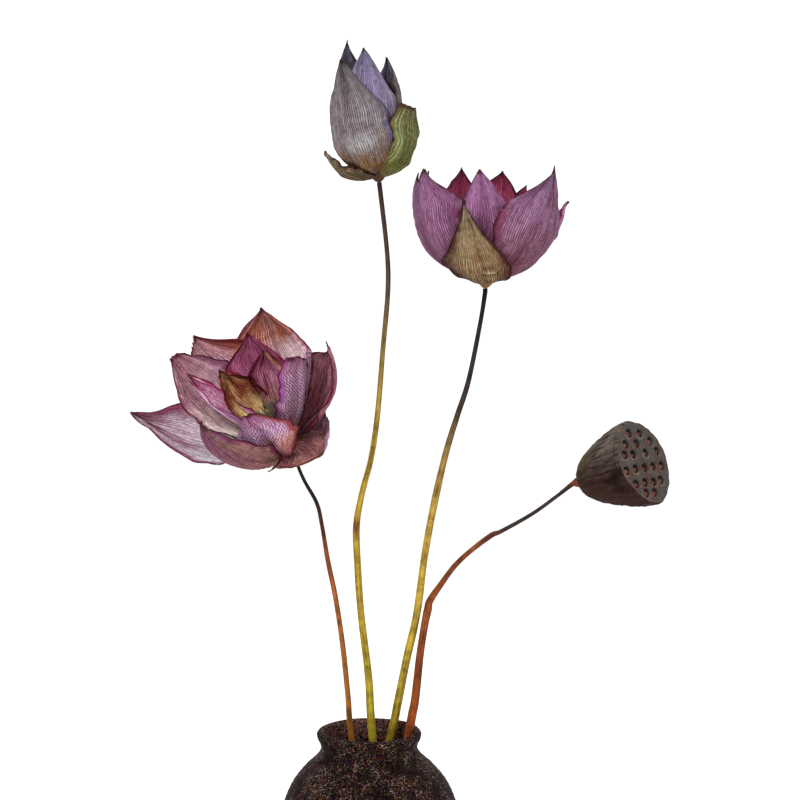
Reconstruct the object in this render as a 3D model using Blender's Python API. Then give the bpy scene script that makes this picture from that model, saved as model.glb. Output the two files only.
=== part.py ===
"""A dried lotus arrangement: two open blooms, a closed bud and a seed pod on stems in a glazed vase.

Metres, +Z up. The origin is the middle of the vase's foot, and the arrangement faces -Y.
"""

import math
from dataclasses import dataclass

import bmesh
import bpy
import numpy as np
from mathutils import Matrix, Vector

GAP = 0.0003  # between pieces that touch

# ---- vase ----
VASE_HEIGHT = 0.170
VASE_FLOOR = 0.007  # thickness of the bottom, inside
VASE_SIDES = 32
# radius and height of the outer wall, from the foot to the top of the lip
VASE_OUTSIDE = (
    (0.0440, 0.0000), (0.0470, 0.0020), (0.0510, 0.0100), (0.0625, 0.0330), (0.0735, 0.0610),
    (0.0770, 0.0860), (0.0750, 0.1040), (0.0670, 0.1240), (0.0560, 0.1380), (0.0470, 0.1462),
    (0.0425, 0.1515), (0.0407, 0.1560), (0.0420, 0.1605), (0.0442, 0.1650), (0.0438, 0.1685),
    (0.0420, VASE_HEIGHT),
)
# radius and height of the inner wall, from the top of the lip to the bottom
VASE_INSIDE = (
    (0.0394, 0.1693), (0.0376, 0.1650), (0.0366, 0.1570), (0.0385, 0.1490), (0.0515, 0.1350),
    (0.0625, 0.1215), (0.0700, 0.1030), (0.0718, 0.0860), (0.0685, 0.0620), (0.0575, 0.0350),
    (0.0455, 0.0110), (0.0400, VASE_FLOOR),
)

# ---- petals ----
PETAL_THICKNESS = 0.0008
PETAL_ROOT_WIDTH = 0.010  # of the claw that sits in the core
PETAL_TIP_WIDTH = 0.002
PETAL_RUFFLE = 0.0015  # height of the waves along a petal's edges
PETAL_WAVES = 1.7  # waves from root to tip
PETAL_WAVE_OFFSET = 0.31  # of a wave, between the two edges
PETAL_PHASE = 1.3  # radians, from one petal to the next
MIDRIB_STEPS = 120  # for summing up the midrib's path
CELLS_LONG, CELLS_WIDE = 6, 4

# ---- seed pod ----
POD_BASE = Vector((0.1793, 0.0350, 0.3746))
POD_AXIS = Vector((0.59, -0.76, 0.28))
POD_HEIGHT = 0.079
POD_FACE_RADIUS = 0.0315
# height along the pod's axis and radius, from the stem to the rim of the face
POD_PROFILE = (
    (0.0000, 0.0055), (0.0025, 0.0085), (0.0080, 0.0120), (0.0160, 0.0180), (0.0270, 0.0245),
    (0.0400, 0.0300), (0.0530, 0.0335), (0.0660, 0.0348), (0.0750, 0.0342), (POD_HEIGHT, POD_FACE_RADIUS),
)
POD_SIDES = 28
POD_LOBES = 7
POD_LOBE_DEPTH = 0.035  # as a share of the radius
POD_CROWN = 0.0015  # the face's middle stands this much above its rim
HOLE_RINGS = ((1, 0.04, 0.5), (7, 0.44, 0.3), (12, 0.77, 0.1))  # holes, radius over the face's, first angle
HOLE_RADIUS = 0.0036
HOLE_DEPTH = 0.0060
HOLE_SIDES, SEED_SIDES = 8, 6
SEED_RADIUS = 0.0030
SEED_PROFILE = ((0.7, -0.002), (1.0, 0.001), (0.6, 0.0028))  # share of the radius, height

# ---- stems ----
STEM_SAMPLES = 28
NECK_LENGTH = 0.006  # straight end of a stem under its flower head
BEVEL_SIDES = 2  # bevel_resolution of the stems: eight sides


@dataclass(frozen=True)
class Petal:
    """One petal or sepal, in metres and degrees.

    heading turns about the bloom's axis from its right-hand side. opening is the angle between petal and axis at the
    root, at mid-length and at the tip. cup is how far the left and right halves turn inwards.
    """

    heading: float
    opening: tuple
    length: float
    width: float
    cup: tuple = (45, 45)
    sway: float = 0.0
    seat: tuple = (0.0055, 0.0100)
    belly: float = 0.55
    point: float = 0.35
    tip_curl: float = 0.0


@dataclass(frozen=True)
class Bloom:
    """A flower head: where its stem ends, which way it faces, and its petals."""

    name: str
    base: tuple
    axis: tuple
    petals: tuple
    outer_petals: tuple
    outer_name: str
    petal_slot: str
    outer_slot: str
    heart_height: float
    heart_radius: float
    stamens: int


INNER_SEAT = (0.0050, 0.0115)
OUTER_SEAT = (0.0065, 0.0085)
SEPAL_SEAT = (0.0045, 0.0035)

OPEN_BLOOM = Bloom(
    name="open_bloom", base=(-0.0625, -0.0300, 0.4095), axis=(-0.45, -0.40, 0.80),
    petals=(
        Petal(78, (55, 42, 22), 0.116, 0.074, (35, 35)),
        Petal(126, (60, 37, 12), 0.128, 0.054, (35, 35), seat=OUTER_SEAT),
        Petal(146, (50, 37, 20), 0.123, 0.078, (35, 42)),
        Petal(176, (84, 52, 26), 0.133, 0.071, (35, 22), sway=-0.008, seat=OUTER_SEAT),
        Petal(18, (80, 62, -5), 0.096, 0.076, (40, 40), seat=OUTER_SEAT),
        Petal(82, (40, 28, 10), 0.096, 0.056),
        Petal(168, (46, 30, 8), 0.097, 0.030, (80, 80)),
        Petal(137, (36, 29, 15), 0.077, 0.041, (62, 50), seat=INNER_SEAT),
        Petal(74, (36, 30, 15), 0.076, 0.035, (50, 50), seat=INNER_SEAT),
        Petal(346, (50, 41, 8), 0.089, 0.069, (62, 45), belly=0.65, point=0.0, seat=INNER_SEAT),
        Petal(256, (72, 20, -22), 0.057, 0.060, (40, 40), point=0.1),
        Petal(232, (96, 36, -4), 0.092, 0.062, (50, 50), seat=OUTER_SEAT),
        Petal(308, (112, 100, 78), 0.046, 0.074, (30, 50), point=0.1, seat=OUTER_SEAT),
    ),
    outer_petals=(), outer_name="open_bloom_calyx", petal_slot="petal_mauve", outer_slot="calyx_orange",
    heart_height=0.024, heart_radius=0.0120, stamens=18,
)
CUP_BLOOM = Bloom(
    name="cup_bloom", base=(0.0989, 0.0100, 0.5460), axis=(0.05, -0.02, 1.00),
    petals=(
        Petal(95, (62, 22, -4), 0.107, 0.060),
        Petal(129, (58, 8, -10), 0.109, 0.060),
        Petal(68, (58, 4, -8), 0.110, 0.058),
        Petal(168, (82, 20, -13), 0.113, 0.060, seat=INNER_SEAT),
        Petal(10, (88, 24, 2), 0.099, 0.050, tip_curl=60, seat=OUTER_SEAT),
        Petal(266, (58, 8, -4), 0.094, 0.070, (50, 50), sway=-0.009, seat=INNER_SEAT),
        Petal(206, (98, 29, -16), 0.121, 0.090, (50, 60)),
        Petal(317, (96, 12, -2), 0.121, 0.092, (55, 40), belly=0.5, point=0.45, seat=OUTER_SEAT),
    ),
    outer_petals=(
        Petal(260, (104, 31, 2), 0.095, 0.058, (36, 36), -0.018, SEPAL_SEAT, belly=0.38, point=0.75),
    ),
    outer_name="cup_bloom_guard_petal", petal_slot="petal_pink", outer_slot="guard_tan",
    heart_height=0.017, heart_radius=0.0105, stamens=12,
)
BUD = Bloom(
    name="bud", base=(0.0082, 0.0000, 0.6353), axis=(-0.12, -0.03, 1.00),
    petals=(
        Petal(85, (52, 2, -12), 0.104, 0.056, (50, 50)),
        Petal(112, (56, 2, -8), 0.129, 0.044, (50, 50)),
        Petal(46, (50, 4, -12), 0.105, 0.047, (50, 50)),
        Petal(272, (64, -9, -8), 0.107, 0.058, (55, 55), seat=INNER_SEAT),
        Petal(248, (80, -4, -4), 0.103, 0.070, (60, 60), sway=-0.004, seat=OUTER_SEAT),
    ),
    outer_petals=(
        Petal(334, (88, 24, -12), 0.070, 0.050, (45, 45), 0.0, SEPAL_SEAT, point=0.7),
        Petal(200, (106, 54, 14), 0.053, 0.030, (35, 35), 0.0, SEPAL_SEAT, point=0.7),
    ),
    outer_name="bud_sepals", petal_slot="petal_grey", outer_slot="sepal_green",
    heart_height=0.010, heart_radius=0.0070, stamens=0,
)

# ---- core of a flower head: radius and height above the stem's end ----
CALYX_PROFILE = ((0.0024, 0.0000), (0.0045, 0.0025), (0.0068, 0.0050), (0.0072, 0.0062))
CORE_PROFILE = ((0.0065, 0.0065), (0.0085, 0.0085), (0.0088, 0.0120), (0.0060, 0.0150))
CORE_SIDES = 14
# of a heart: share of its radius, share of its height
HEART_PROFILE = ((0.35, 0.0), (0.60, 0.25), (0.92, 0.80), (1.00, 0.92), (0.85, 1.00))
STAMEN_LEAN = 24  # degrees from the axis
STAMEN_LENGTH = 0.020
STAMEN_RADIUS = 0.0006

# ---- stems: points of the route (x, y, z) with the radius there, from the flower head to the vase's mouth ----
OPEN_STEM = (
    (-0.0588, -0.0290, 0.3965, 0.0015), (-0.0533, -0.0270, 0.3829, 0.0015), (-0.0432, -0.0240, 0.3640, 0.0016),
    (-0.0391, -0.0200, 0.3450, 0.0017), (-0.0344, -0.0140, 0.3145, 0.0019), (-0.0284, -0.0090, 0.2839, 0.0021),
    (-0.0226, -0.0030, 0.2423, 0.0023), (-0.0183, 0.0030, 0.1969, 0.0024), (-0.0150, 0.0060, 0.1586, 0.0025),
)
BUD_STEM = (
    (0.0148, -0.0010, 0.5774, 0.0020), (0.0157, -0.0020, 0.5427, 0.0021), (0.0115, -0.0030, 0.4927, 0.0022),
    (0.0069, -0.0040, 0.4373, 0.0023), (0.0014, -0.0040, 0.4004, 0.0025), (-0.0059, -0.0050, 0.3723, 0.0026),
    (-0.0109, -0.0060, 0.3437, 0.0028), (-0.0099, -0.0060, 0.3105, 0.0028), (-0.0069, -0.0070, 0.2684, 0.0030),
    (-0.0005, -0.0080, 0.2158, 0.0032), (0.0032, -0.0080, 0.1614, 0.0033),
)
CUP_STEM = (
    (0.0943, 0.0100, 0.5135, 0.0019), (0.0847, 0.0110, 0.4663, 0.0022), (0.0751, 0.0120, 0.4363, 0.0025),
    (0.0655, 0.0120, 0.4048, 0.0027), (0.0558, 0.0130, 0.3627, 0.0030), (0.0473, 0.0140, 0.3170, 0.0031),
    (0.0405, 0.0150, 0.2668, 0.0033), (0.0316, 0.0150, 0.2269, 0.0034), (0.0238, 0.0160, 0.1880, 0.0035),
    (0.0174, 0.0160, 0.1578, 0.0035),
)
POD_STEM = (
    (0.1737, 0.0480, 0.3690, 0.0019), (0.1663, 0.0540, 0.3641, 0.0016), (0.1439, 0.0580, 0.3482, 0.0017),
    (0.1163, 0.0540, 0.3333, 0.0019), (0.1070, 0.0510, 0.3298, 0.0024), (0.0885, 0.0440, 0.3170, 0.0022),
    (0.0738, 0.0360, 0.3044, 0.0024), (0.0610, 0.0260, 0.2889, 0.0026), (0.0517, 0.0180, 0.2764, 0.0030),
    (0.0501, 0.0150, 0.2700, 0.0034), (0.0473, 0.0110, 0.2578, 0.0033), (0.0429, 0.0060, 0.2314, 0.0033),
    (0.0386, 0.0020, 0.1941, 0.0036), (0.0332, 0.0000, 0.1653, 0.0037),
)
# where each stem stands on the bottom of the vase
OPEN_STEM_FOOT = (0.005, 0.014)
BUD_STEM_FOOT = (0.019, -0.004)
CUP_STEM_FOOT = (-0.017, 0.026)
POD_STEM_FOOT = (0.006, -0.022)

# ---- finishes: colour (linear), roughness ----
FINISHES = {
    "glaze": ((0.030, 0.014, 0.012), 0.22),
    "stem": ((0.330, 0.160, 0.045), 0.60),
    "petal_mauve": ((0.420, 0.190, 0.230), 0.75),
    "petal_pink": ((0.460, 0.110, 0.230), 0.70),
    "petal_grey": ((0.230, 0.170, 0.210), 0.80),
    "sepal_green": ((0.250, 0.220, 0.080), 0.75),
    "guard_tan": ((0.400, 0.270, 0.130), 0.75),
    "calyx_orange": ((0.420, 0.170, 0.060), 0.70),
    "heart_gold": ((0.380, 0.220, 0.060), 0.75),
    "pod_grey": ((0.075, 0.060, 0.052), 0.80),
}


def clear_scene():
    """Remove every object that the file opened with."""
    for thing in list(bpy.data.objects):
        bpy.data.objects.remove(thing, do_unlink=True)


def make_material(slot):
    """Return the Principled material of a finish, made once."""
    found = bpy.data.materials.get(slot)
    if found:
        return found
    colour, roughness = FINISHES[slot]
    material = bpy.data.materials.new(slot)
    material.use_nodes = True
    shader = material.node_tree.nodes["Principled BSDF"]
    shader.inputs["Base Color"].default_value = (*colour, 1.0)
    shader.inputs["Roughness"].default_value = roughness
    shader.inputs["Metallic"].default_value = 0.0
    return material


def mesh_object(name, points, faces, slot, parent=None):
    """Make a closed mesh object with its faces turned outwards, under a parent's frame."""
    mesh = bpy.data.meshes.new(name)
    mesh.from_pydata([tuple(map(float, p)) for p in points], [], [tuple(map(int, f)) for f in faces])
    shell = bmesh.new()
    shell.from_mesh(mesh)
    bmesh.ops.recalc_face_normals(shell, faces=shell.faces)
    shell.to_mesh(mesh)
    shell.free()
    thing = bpy.data.objects.new(name, mesh)
    bpy.context.scene.collection.objects.link(thing)
    thing.data.materials.append(make_material(slot))
    thing.parent = parent
    return thing


def turned_solid(profile, sides, radius_scale=None):
    """Turn a (radius, height) profile about Z, closed by a point at both ends.

    radius_scale(angle) swells or pinches the radius round the axis.
    """
    angles = [2.0 * math.pi * k / sides for k in range(sides)]
    scale = [radius_scale(a) if radius_scale else 1.0 for a in angles]
    points = [
        (r * s * math.cos(a), r * s * math.sin(a), z) for r, z in profile for a, s in zip(angles, scale)
    ]
    faces = []
    for ring in range(len(profile) - 1):
        for k in range(sides):
            low, high = ring * sides, (ring + 1) * sides
            after = (k + 1) % sides
            faces.append((low + k, low + after, high + after, high + k))
    first, last = len(points), len(points) + 1
    points.append((0.0, 0.0, profile[0][1]))
    points.append((0.0, 0.0, profile[-1][1]))
    top = (len(profile) - 1) * sides
    for k in range(sides):
        after = (k + 1) % sides
        faces.append((first, after, k))
        faces.append((last, top + k, top + after))
    return points, faces


def half_width(petal, u):
    """Half the petal's width: it swells from the claw to the belly as a sine, then closes as a pointed arch."""
    claw = PETAL_ROOT_WIDTH / petal.width
    rising = np.clip(u / petal.belly, 0.0, 1.0)
    closing = np.clip((u - petal.belly) / (1.0 - petal.belly), 0.0, 1.0)
    swell = claw + (1.0 - claw) * np.sin(0.5 * math.pi * rising) ** 0.85
    arch = (1.0 - closing**2) * (1.0 - petal.point * closing**2)
    share = np.where(u < petal.belly, swell, arch)
    return np.maximum(0.5 * petal.width * share, 0.5 * PETAL_TIP_WIDTH)


def opening_angle(petal, u):
    """Angle from the axis along the petal: a quadratic curve through its three values, with a curl at the tip."""
    root, middle, tip = petal.opening
    bend = (1 - u) ** 2 * root + 2 * u * (1 - u) * middle + u**2 * tip
    return np.radians(bend + petal.tip_curl * np.clip((u - 0.8) / 0.2, 0.0, 1.0) ** 2)


def run_along(angle, step):
    """Sum the sine and cosine of an angle along a path of equal steps: how far it has gone out and up."""
    out = np.concatenate([[0.0], np.cumsum(0.5 * (np.sin(angle)[1:] + np.sin(angle)[:-1]) * step)])
    up = np.concatenate([[0.0], np.cumsum(0.5 * (np.cos(angle)[1:] + np.cos(angle)[:-1]) * step)])
    return out, up


def petal_surface(petal, phase, u, v):
    """Points of a petal's middle surface in its bloom's frame, on the grid of u (root to tip) and v (-1 to 1).

    The midrib runs out and up by the opening angle. Across it lies an arc that turns inwards by the cup angle, as
    wide as the outline, with a few waves that grow towards the edge.
    """
    fine = np.linspace(0.0, 1.0, MIDRIB_STEPS + 1)
    angle = opening_angle(petal, fine)
    out, up = run_along(angle, petal.length / MIDRIB_STEPS)
    radius = petal.seat[0] + np.interp(u, fine, out)[:, None]
    height = petal.seat[1] + np.interp(u, fine, up)[:, None]
    lean = np.interp(u, fine, angle)[:, None]
    width = half_width(petal, u)[:, None]
    turn = np.radians(np.where(v < 0, petal.cup[0], petal.cup[1]))
    reach = np.abs(v)
    across = np.sign(v) * np.sin(turn * reach) / turn * width
    inward = (1.0 - np.cos(turn * reach)) / turn * width
    turns = PETAL_WAVES * u[:, None] + PETAL_WAVE_OFFSET * np.sign(v)[None, :]
    wave = np.sin(2.0 * math.pi * turns + phase)
    inward = inward + PETAL_RUFFLE * reach**2.5 * wave * np.sqrt(np.sin(math.pi * np.clip(u, 0, 1)))[:, None]
    across = across + petal.sway * u[:, None] ** 2
    heading = math.radians(petal.heading)
    ahead = np.array((math.cos(heading), math.sin(heading), 0.0))
    aside = np.array((-math.sin(heading), math.cos(heading), 0.0))
    axis = np.array((0.0, 0.0, 1.0))
    facing = -np.cos(lean)[..., None] * ahead + np.sin(lean)[..., None] * axis
    spine = radius[..., None] * ahead + height[..., None] * axis
    return spine + across[..., None] * aside + inward[..., None] * facing


def petal_solid(petal, index):
    """A thin closed blade on both sides of the petal's surface, split into triangles alike on both faces."""
    u = np.linspace(0.0, 1.0, CELLS_LONG + 1)
    v = np.linspace(-1.0, 1.0, CELLS_WIDE + 1)
    middle = petal_surface(petal, PETAL_PHASE * index, u, v)
    normal = np.cross(np.gradient(middle, axis=0), np.gradient(middle, axis=1))
    normal /= np.linalg.norm(normal, axis=2, keepdims=True)
    shift = 0.5 * PETAL_THICKNESS * normal
    points = np.concatenate([(middle + shift).reshape(-1, 3), (middle - shift).reshape(-1, 3)])
    row, face = CELLS_WIDE + 1, (CELLS_LONG + 1) * (CELLS_WIDE + 1)
    faces = []
    for i in range(CELLS_LONG):
        for j in range(CELLS_WIDE):
            a, b, c, d = i * row + j, i * row + j + 1, (i + 1) * row + j + 1, (i + 1) * row + j
            faces += [(a, b, c), (a, c, d), (face + a, face + c, face + b), (face + a, face + d, face + c)]
    rim = list(range(row))
    rim += [i * row + row - 1 for i in range(1, CELLS_LONG + 1)]
    rim += [CELLS_LONG * row + j for j in range(row - 2, -1, -1)]
    rim += [i * row for i in range(CELLS_LONG - 1, 0, -1)]
    for k, start in enumerate(rim):
        end = rim[(k + 1) % len(rim)]
        faces += [(start, face + start, end), (end, face + start, face + end)]
    return points, faces


def islands(shell):
    """The separate closed shells of a bmesh, each as a list of its faces."""
    left, found = set(shell.faces), []
    while left:
        island, edge_of_growth = [], [left.pop()]
        while edge_of_growth:
            face = edge_of_growth.pop()
            island.append(face)
            for edge in face.edges:
                for neighbour in edge.link_faces:
                    if neighbour in left:
                        left.remove(neighbour)
                        edge_of_growth.append(neighbour)
        found.append(island)
    return found


def keep_outer_shell(mesh):
    """Keep the shell with the most faces: hollows that joining has sealed are filled, and loose scraps dropped."""
    shell = bmesh.new()
    shell.from_mesh(mesh)
    shells = sorted(islands(shell), key=len)
    for island in shells[:-1]:
        bmesh.ops.delete(shell, geom=island, context="FACES")
    bmesh.ops.delete(shell, geom=[v for v in shell.verts if not v.link_faces], context="VERTS")
    shell.to_mesh(mesh)
    shell.free()


def combine(name, core, others, operation, slot, parent=None):
    """Join or cut a core solid with a list of solids by one Boolean on their collection, applied."""
    thing = mesh_object(name, *core, slot, parent)
    group = bpy.data.collections.new(name + "_parts")
    bpy.context.scene.collection.children.link(group)
    for index, solid in enumerate(others):
        piece = mesh_object(f"{name}_part_{index}", *solid, slot, parent)
        bpy.context.scene.collection.objects.unlink(piece)
        group.objects.link(piece)
    modifier = thing.modifiers.new("combine", "BOOLEAN")
    modifier.operation = operation
    modifier.operand_type = "COLLECTION"
    modifier.collection = group
    modifier.solver = "EXACT"
    modifier.use_self = False
    bpy.context.view_layer.update()
    evaluated = thing.evaluated_get(bpy.context.evaluated_depsgraph_get())
    joined = bpy.data.meshes.new_from_object(evaluated)
    keep_outer_shell(joined)
    thing.modifiers.clear()
    thing.data = joined
    for piece in list(group.objects):
        bpy.data.objects.remove(piece, do_unlink=True)
    bpy.data.collections.remove(group)
    return thing


def axis_frame(base, axis):
    """Matrix of a frame at base whose Z follows the axis and whose X leans as little as it can from world X."""
    z = Vector(axis).normalized()
    x = Vector((1.0, 0.0, 0.0))
    x = (x - z * x.dot(z)).normalized()
    y = z.cross(x)
    turned = Matrix((x, y, z)).transposed().to_4x4()
    return Matrix.Translation(Vector(base)) @ turned


def frame_empty(name, base, axis):
    """An empty at a flower head's base, which carries its pieces."""
    empty = bpy.data.objects.new(name + "_frame", None)
    bpy.context.scene.collection.objects.link(empty)
    empty.matrix_world = axis_frame(base, axis)
    return empty


def stamen_solid(angle, root_radius, root_height):
    """A three-sided needle that leans out from the heart."""
    lean = math.radians(STAMEN_LEAN)
    ahead = np.array((math.cos(angle), math.sin(angle), 0.0))
    aside = np.array((-math.sin(angle), math.cos(angle), 0.0))
    axis = np.array((0.0, 0.0, 1.0))
    along = math.sin(lean) * ahead + math.cos(lean) * axis
    inward = -math.cos(lean) * ahead + math.sin(lean) * axis
    root = root_radius * ahead + root_height * axis
    corners = [(math.cos(t) * aside + math.sin(t) * inward) for t in (0.0, 2.1, 4.2)]
    low = [root + STAMEN_RADIUS * c for c in corners]
    high = [root + STAMEN_LENGTH * along + 0.6 * STAMEN_RADIUS * c for c in corners]
    faces = [(0, 1, 4, 3), (1, 2, 5, 4), (2, 0, 3, 5), (2, 1, 0), (3, 4, 5)]
    return low + high, faces


def build_heart(bloom, parent):
    """The receptacle in the middle of a bloom: a small flat-topped cone, with its stamens round it."""
    foot = CORE_PROFILE[-1][1] + GAP
    profile = tuple((r * bloom.heart_radius, foot + z * bloom.heart_height) for r, z in HEART_PROFILE)
    core = turned_solid(profile, CORE_SIDES)
    root_height = foot + 0.20 * bloom.heart_height
    stamens = [
        stamen_solid(2.0 * math.pi * (k + 0.25) / bloom.stamens, 0.40 * bloom.heart_radius, root_height)
        for k in range(bloom.stamens)
    ]
    if not stamens:
        mesh_object(bloom.name + "_heart", *core, "heart_gold", parent)
        return
    combine(bloom.name + "_heart", core, stamens, "UNION", "heart_gold", parent)


def build_bloom(bloom):
    """A flower head: the calyx with its outer petals or sepals, the core with the petals, and the heart."""
    frame = frame_empty(bloom.name, bloom.base, bloom.axis)
    calyx = turned_solid(CALYX_PROFILE, CORE_SIDES)
    if bloom.outer_petals:
        outer = [petal_solid(p, k + 0.5) for k, p in enumerate(bloom.outer_petals)]
        combine(bloom.outer_name, calyx, outer, "UNION", bloom.outer_slot, frame)
    else:
        mesh_object(bloom.outer_name, *calyx, bloom.outer_slot, frame)
    core = turned_solid(CORE_PROFILE, CORE_SIDES)
    petals = [petal_solid(p, k) for k, p in enumerate(bloom.petals)]
    combine(bloom.name + "_petals", core, petals, "UNION", bloom.petal_slot, frame)
    build_heart(bloom, frame)


def build_vase():
    """The turned vase: a full body that narrows to a neck under a rolled lip, open at the top."""
    wall = VASE_OUTSIDE + VASE_INSIDE
    vase = mesh_object("vase", *turned_solid(wall, VASE_SIDES), "glaze")
    vase.data.shade_smooth()
    vase.data.set_sharp_from_angle(angle=math.radians(40))


def smooth_route(points, samples):
    """Sample a Catmull-Rom curve through the points, evenly by distance."""
    knots = [Vector(p) for p in points]
    padded = [2 * knots[0] - knots[1], *knots, 2 * knots[-1] - knots[-2]]
    dense = []
    for k in range(1, len(padded) - 2):
        a, b, c, d = padded[k - 1:k + 3]
        for step in range(20):
            t = step / 20
            dense.append(0.5 * (2 * b + (c - a) * t + (2 * a - 5 * b + 4 * c - d) * t**2
                                + (3 * b - a - 3 * c + d) * t**3))
    dense.append(knots[-1])
    travelled = np.concatenate([[0.0], np.cumsum([(q.xyz - p.xyz).length for p, q in zip(dense, dense[1:])])])
    table = np.array([tuple(p) for p in dense])
    wanted = np.linspace(0.0, travelled[-1], samples)
    return np.stack([np.interp(wanted, travelled, table[:, axis]) for axis in range(4)], axis=1)


def build_stem(name, head, route, foot):
    """A stem: a round tube from its flower head, given as points with radii, down to the bottom of the vase."""
    mouth_x, mouth_y, mouth_z, foot_radius = route[-1]
    run = math.hypot(mouth_x - foot[0], mouth_y - foot[1])
    lean = math.atan2(run, mouth_z - VASE_FLOOR)
    standing = VASE_FLOOR + GAP + foot_radius * math.sin(lean)  # a leaning end stands on its lower edge
    *top, neck = head
    points = [*top, *smooth_route((neck, *route, (*foot, standing, foot_radius)), STEM_SAMPLES)]
    curve = bpy.data.curves.new(name, "CURVE")
    curve.dimensions = "3D"
    curve.bevel_depth = 1.0
    curve.bevel_resolution = BEVEL_SIDES
    curve.use_fill_caps = True
    spline = curve.splines.new("POLY")
    spline.points.add(len(points) - 1)
    for point, (x, y, z, radius) in zip(spline.points, points):
        point.co = (x, y, z, 1.0)
        point.radius = radius
    curve.materials.append(make_material("stem"))
    bpy.context.scene.collection.objects.link(bpy.data.objects.new(name, curve))


def stem_head(base, axis, radius):
    """The two top points of a stem, which meets its flower head along the head's axis."""
    z = Vector(axis).normalized()
    top, neck = Vector(base) - z * GAP, Vector(base) - z * NECK_LENGTH
    return (*top, radius), (*neck, radius)


def face_outline(angle):
    """Radius of the pod round its axis over its mean: shallow lobes, unequal."""
    lobes = math.cos(POD_LOBES * angle) + 0.6 * math.cos(3.0 * angle + 1.1)
    return 1.0 + 0.5 * POD_LOBE_DEPTH * lobes


def hole_centres():
    """Places of the seed holes in the pod's face: rings about the middle, each shifted a little."""
    draw = np.random.default_rng(12)
    for count, share, first in HOLE_RINGS:
        for k in range(count):
            angle = first + 2.0 * math.pi * k / count + draw.uniform(-0.07, 0.07)
            radius = POD_FACE_RADIUS * share * draw.uniform(0.95, 1.04)
            yield radius * math.cos(angle), radius * math.sin(angle)


def shifted(solid, x, y, z):
    """The same solid moved by (x, y, z)."""
    points, faces = solid
    return [(p[0] + x, p[1] + y, p[2] + z) for p in points], faces


def build_pod():
    """The seed pod: a flaring receptacle with a lobed rim, holes in its flat face and a seed in every hole."""
    frame = frame_empty("seed_pod", POD_BASE, POD_AXIS)
    crown = ((0.5 * POD_FACE_RADIUS, POD_HEIGHT + 0.8 * POD_CROWN),)
    wall = tuple((r, z) for z, r in POD_PROFILE) + crown
    body = turned_solid(wall, POD_SIDES, face_outline)
    top, bottom = POD_HEIGHT + 2 * POD_CROWN, POD_HEIGHT - HOLE_DEPTH
    hole = turned_solid(
        ((0.8 * HOLE_RADIUS, bottom), (HOLE_RADIUS, bottom + 0.001), (HOLE_RADIUS, top)), HOLE_SIDES
    )
    cutters = [shifted(hole, x, y, 0.0) for x, y in hole_centres()]
    pod = combine("seed_pod", body, cutters, "DIFFERENCE", "pod_grey", frame)
    seed = turned_solid(tuple((share * SEED_RADIUS, z) for share, z in SEED_PROFILE), SEED_SIDES)
    seeds = [shifted(seed, x, y, bottom) for x, y in hole_centres()]
    points = [tuple(v.co) for v in pod.data.vertices]
    faces = [tuple(p.vertices) for p in pod.data.polygons]
    bpy.data.objects.remove(pod, do_unlink=True)
    combine("seed_pod", (points, faces), seeds, "UNION", "pod_grey", frame)


def build_stems():
    """The four stems, each ending under its flower head."""
    slim = CALYX_PROFILE[0][0]
    build_stem("open_stem", stem_head(OPEN_BLOOM.base, OPEN_BLOOM.axis, 0.7 * slim), OPEN_STEM, OPEN_STEM_FOOT)
    build_stem("bud_stem", stem_head(BUD.base, BUD.axis, 0.85 * slim), BUD_STEM, BUD_STEM_FOOT)
    build_stem("cup_stem", stem_head(CUP_BLOOM.base, CUP_BLOOM.axis, 0.85 * slim), CUP_STEM, CUP_STEM_FOOT)
    z = POD_AXIS.normalized()
    flare = (GAP, 0.0048), (0.0040, 0.0034), (0.0080, 0.0022)
    collar = tuple((*(POD_BASE - z * back), radius) for back, radius in flare)
    build_stem("pod_stem", collar, POD_STEM, POD_STEM_FOOT)


def main():
    """Build the whole arrangement."""
    clear_scene()
    build_vase()
    build_stems()
    for bloom in (OPEN_BLOOM, CUP_BLOOM, BUD):
        build_bloom(bloom)
    build_pod()


main()
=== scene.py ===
"""The finished look of a dried lotus arrangement: two open blooms, a bud and a seed pod in a glazed vase.

Metres, +Z up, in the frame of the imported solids. Every flower head is built in a frame of its own, with Z
along its axis, and each petal is a surface over u, from its root (0) to its tip (1), and v, from its left
edge (-1) to its right edge (1).
"""

import logging
import math
from dataclasses import dataclass, field, replace
from enum import Enum
from typing import Any

import bpy
import numpy as np
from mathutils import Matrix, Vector


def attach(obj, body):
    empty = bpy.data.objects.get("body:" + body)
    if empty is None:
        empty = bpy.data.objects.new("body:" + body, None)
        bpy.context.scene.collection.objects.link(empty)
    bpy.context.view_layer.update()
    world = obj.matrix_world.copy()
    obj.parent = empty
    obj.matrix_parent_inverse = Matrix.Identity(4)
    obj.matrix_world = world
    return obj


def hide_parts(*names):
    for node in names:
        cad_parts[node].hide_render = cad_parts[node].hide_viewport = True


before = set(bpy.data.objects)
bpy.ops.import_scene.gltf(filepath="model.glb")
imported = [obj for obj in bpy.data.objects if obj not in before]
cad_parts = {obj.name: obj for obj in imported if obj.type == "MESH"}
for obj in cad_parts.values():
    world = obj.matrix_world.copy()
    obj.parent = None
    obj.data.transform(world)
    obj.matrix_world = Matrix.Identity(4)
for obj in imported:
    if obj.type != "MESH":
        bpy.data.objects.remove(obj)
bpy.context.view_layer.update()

LOG = logging.getLogger("lotus")
Array = np.ndarray
Colour = tuple[float, float, float, float]
Knot = tuple[float, float, float, float]
TAU = 2.0 * math.pi
BODY = "root"


# ---- shader expressions ----


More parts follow.
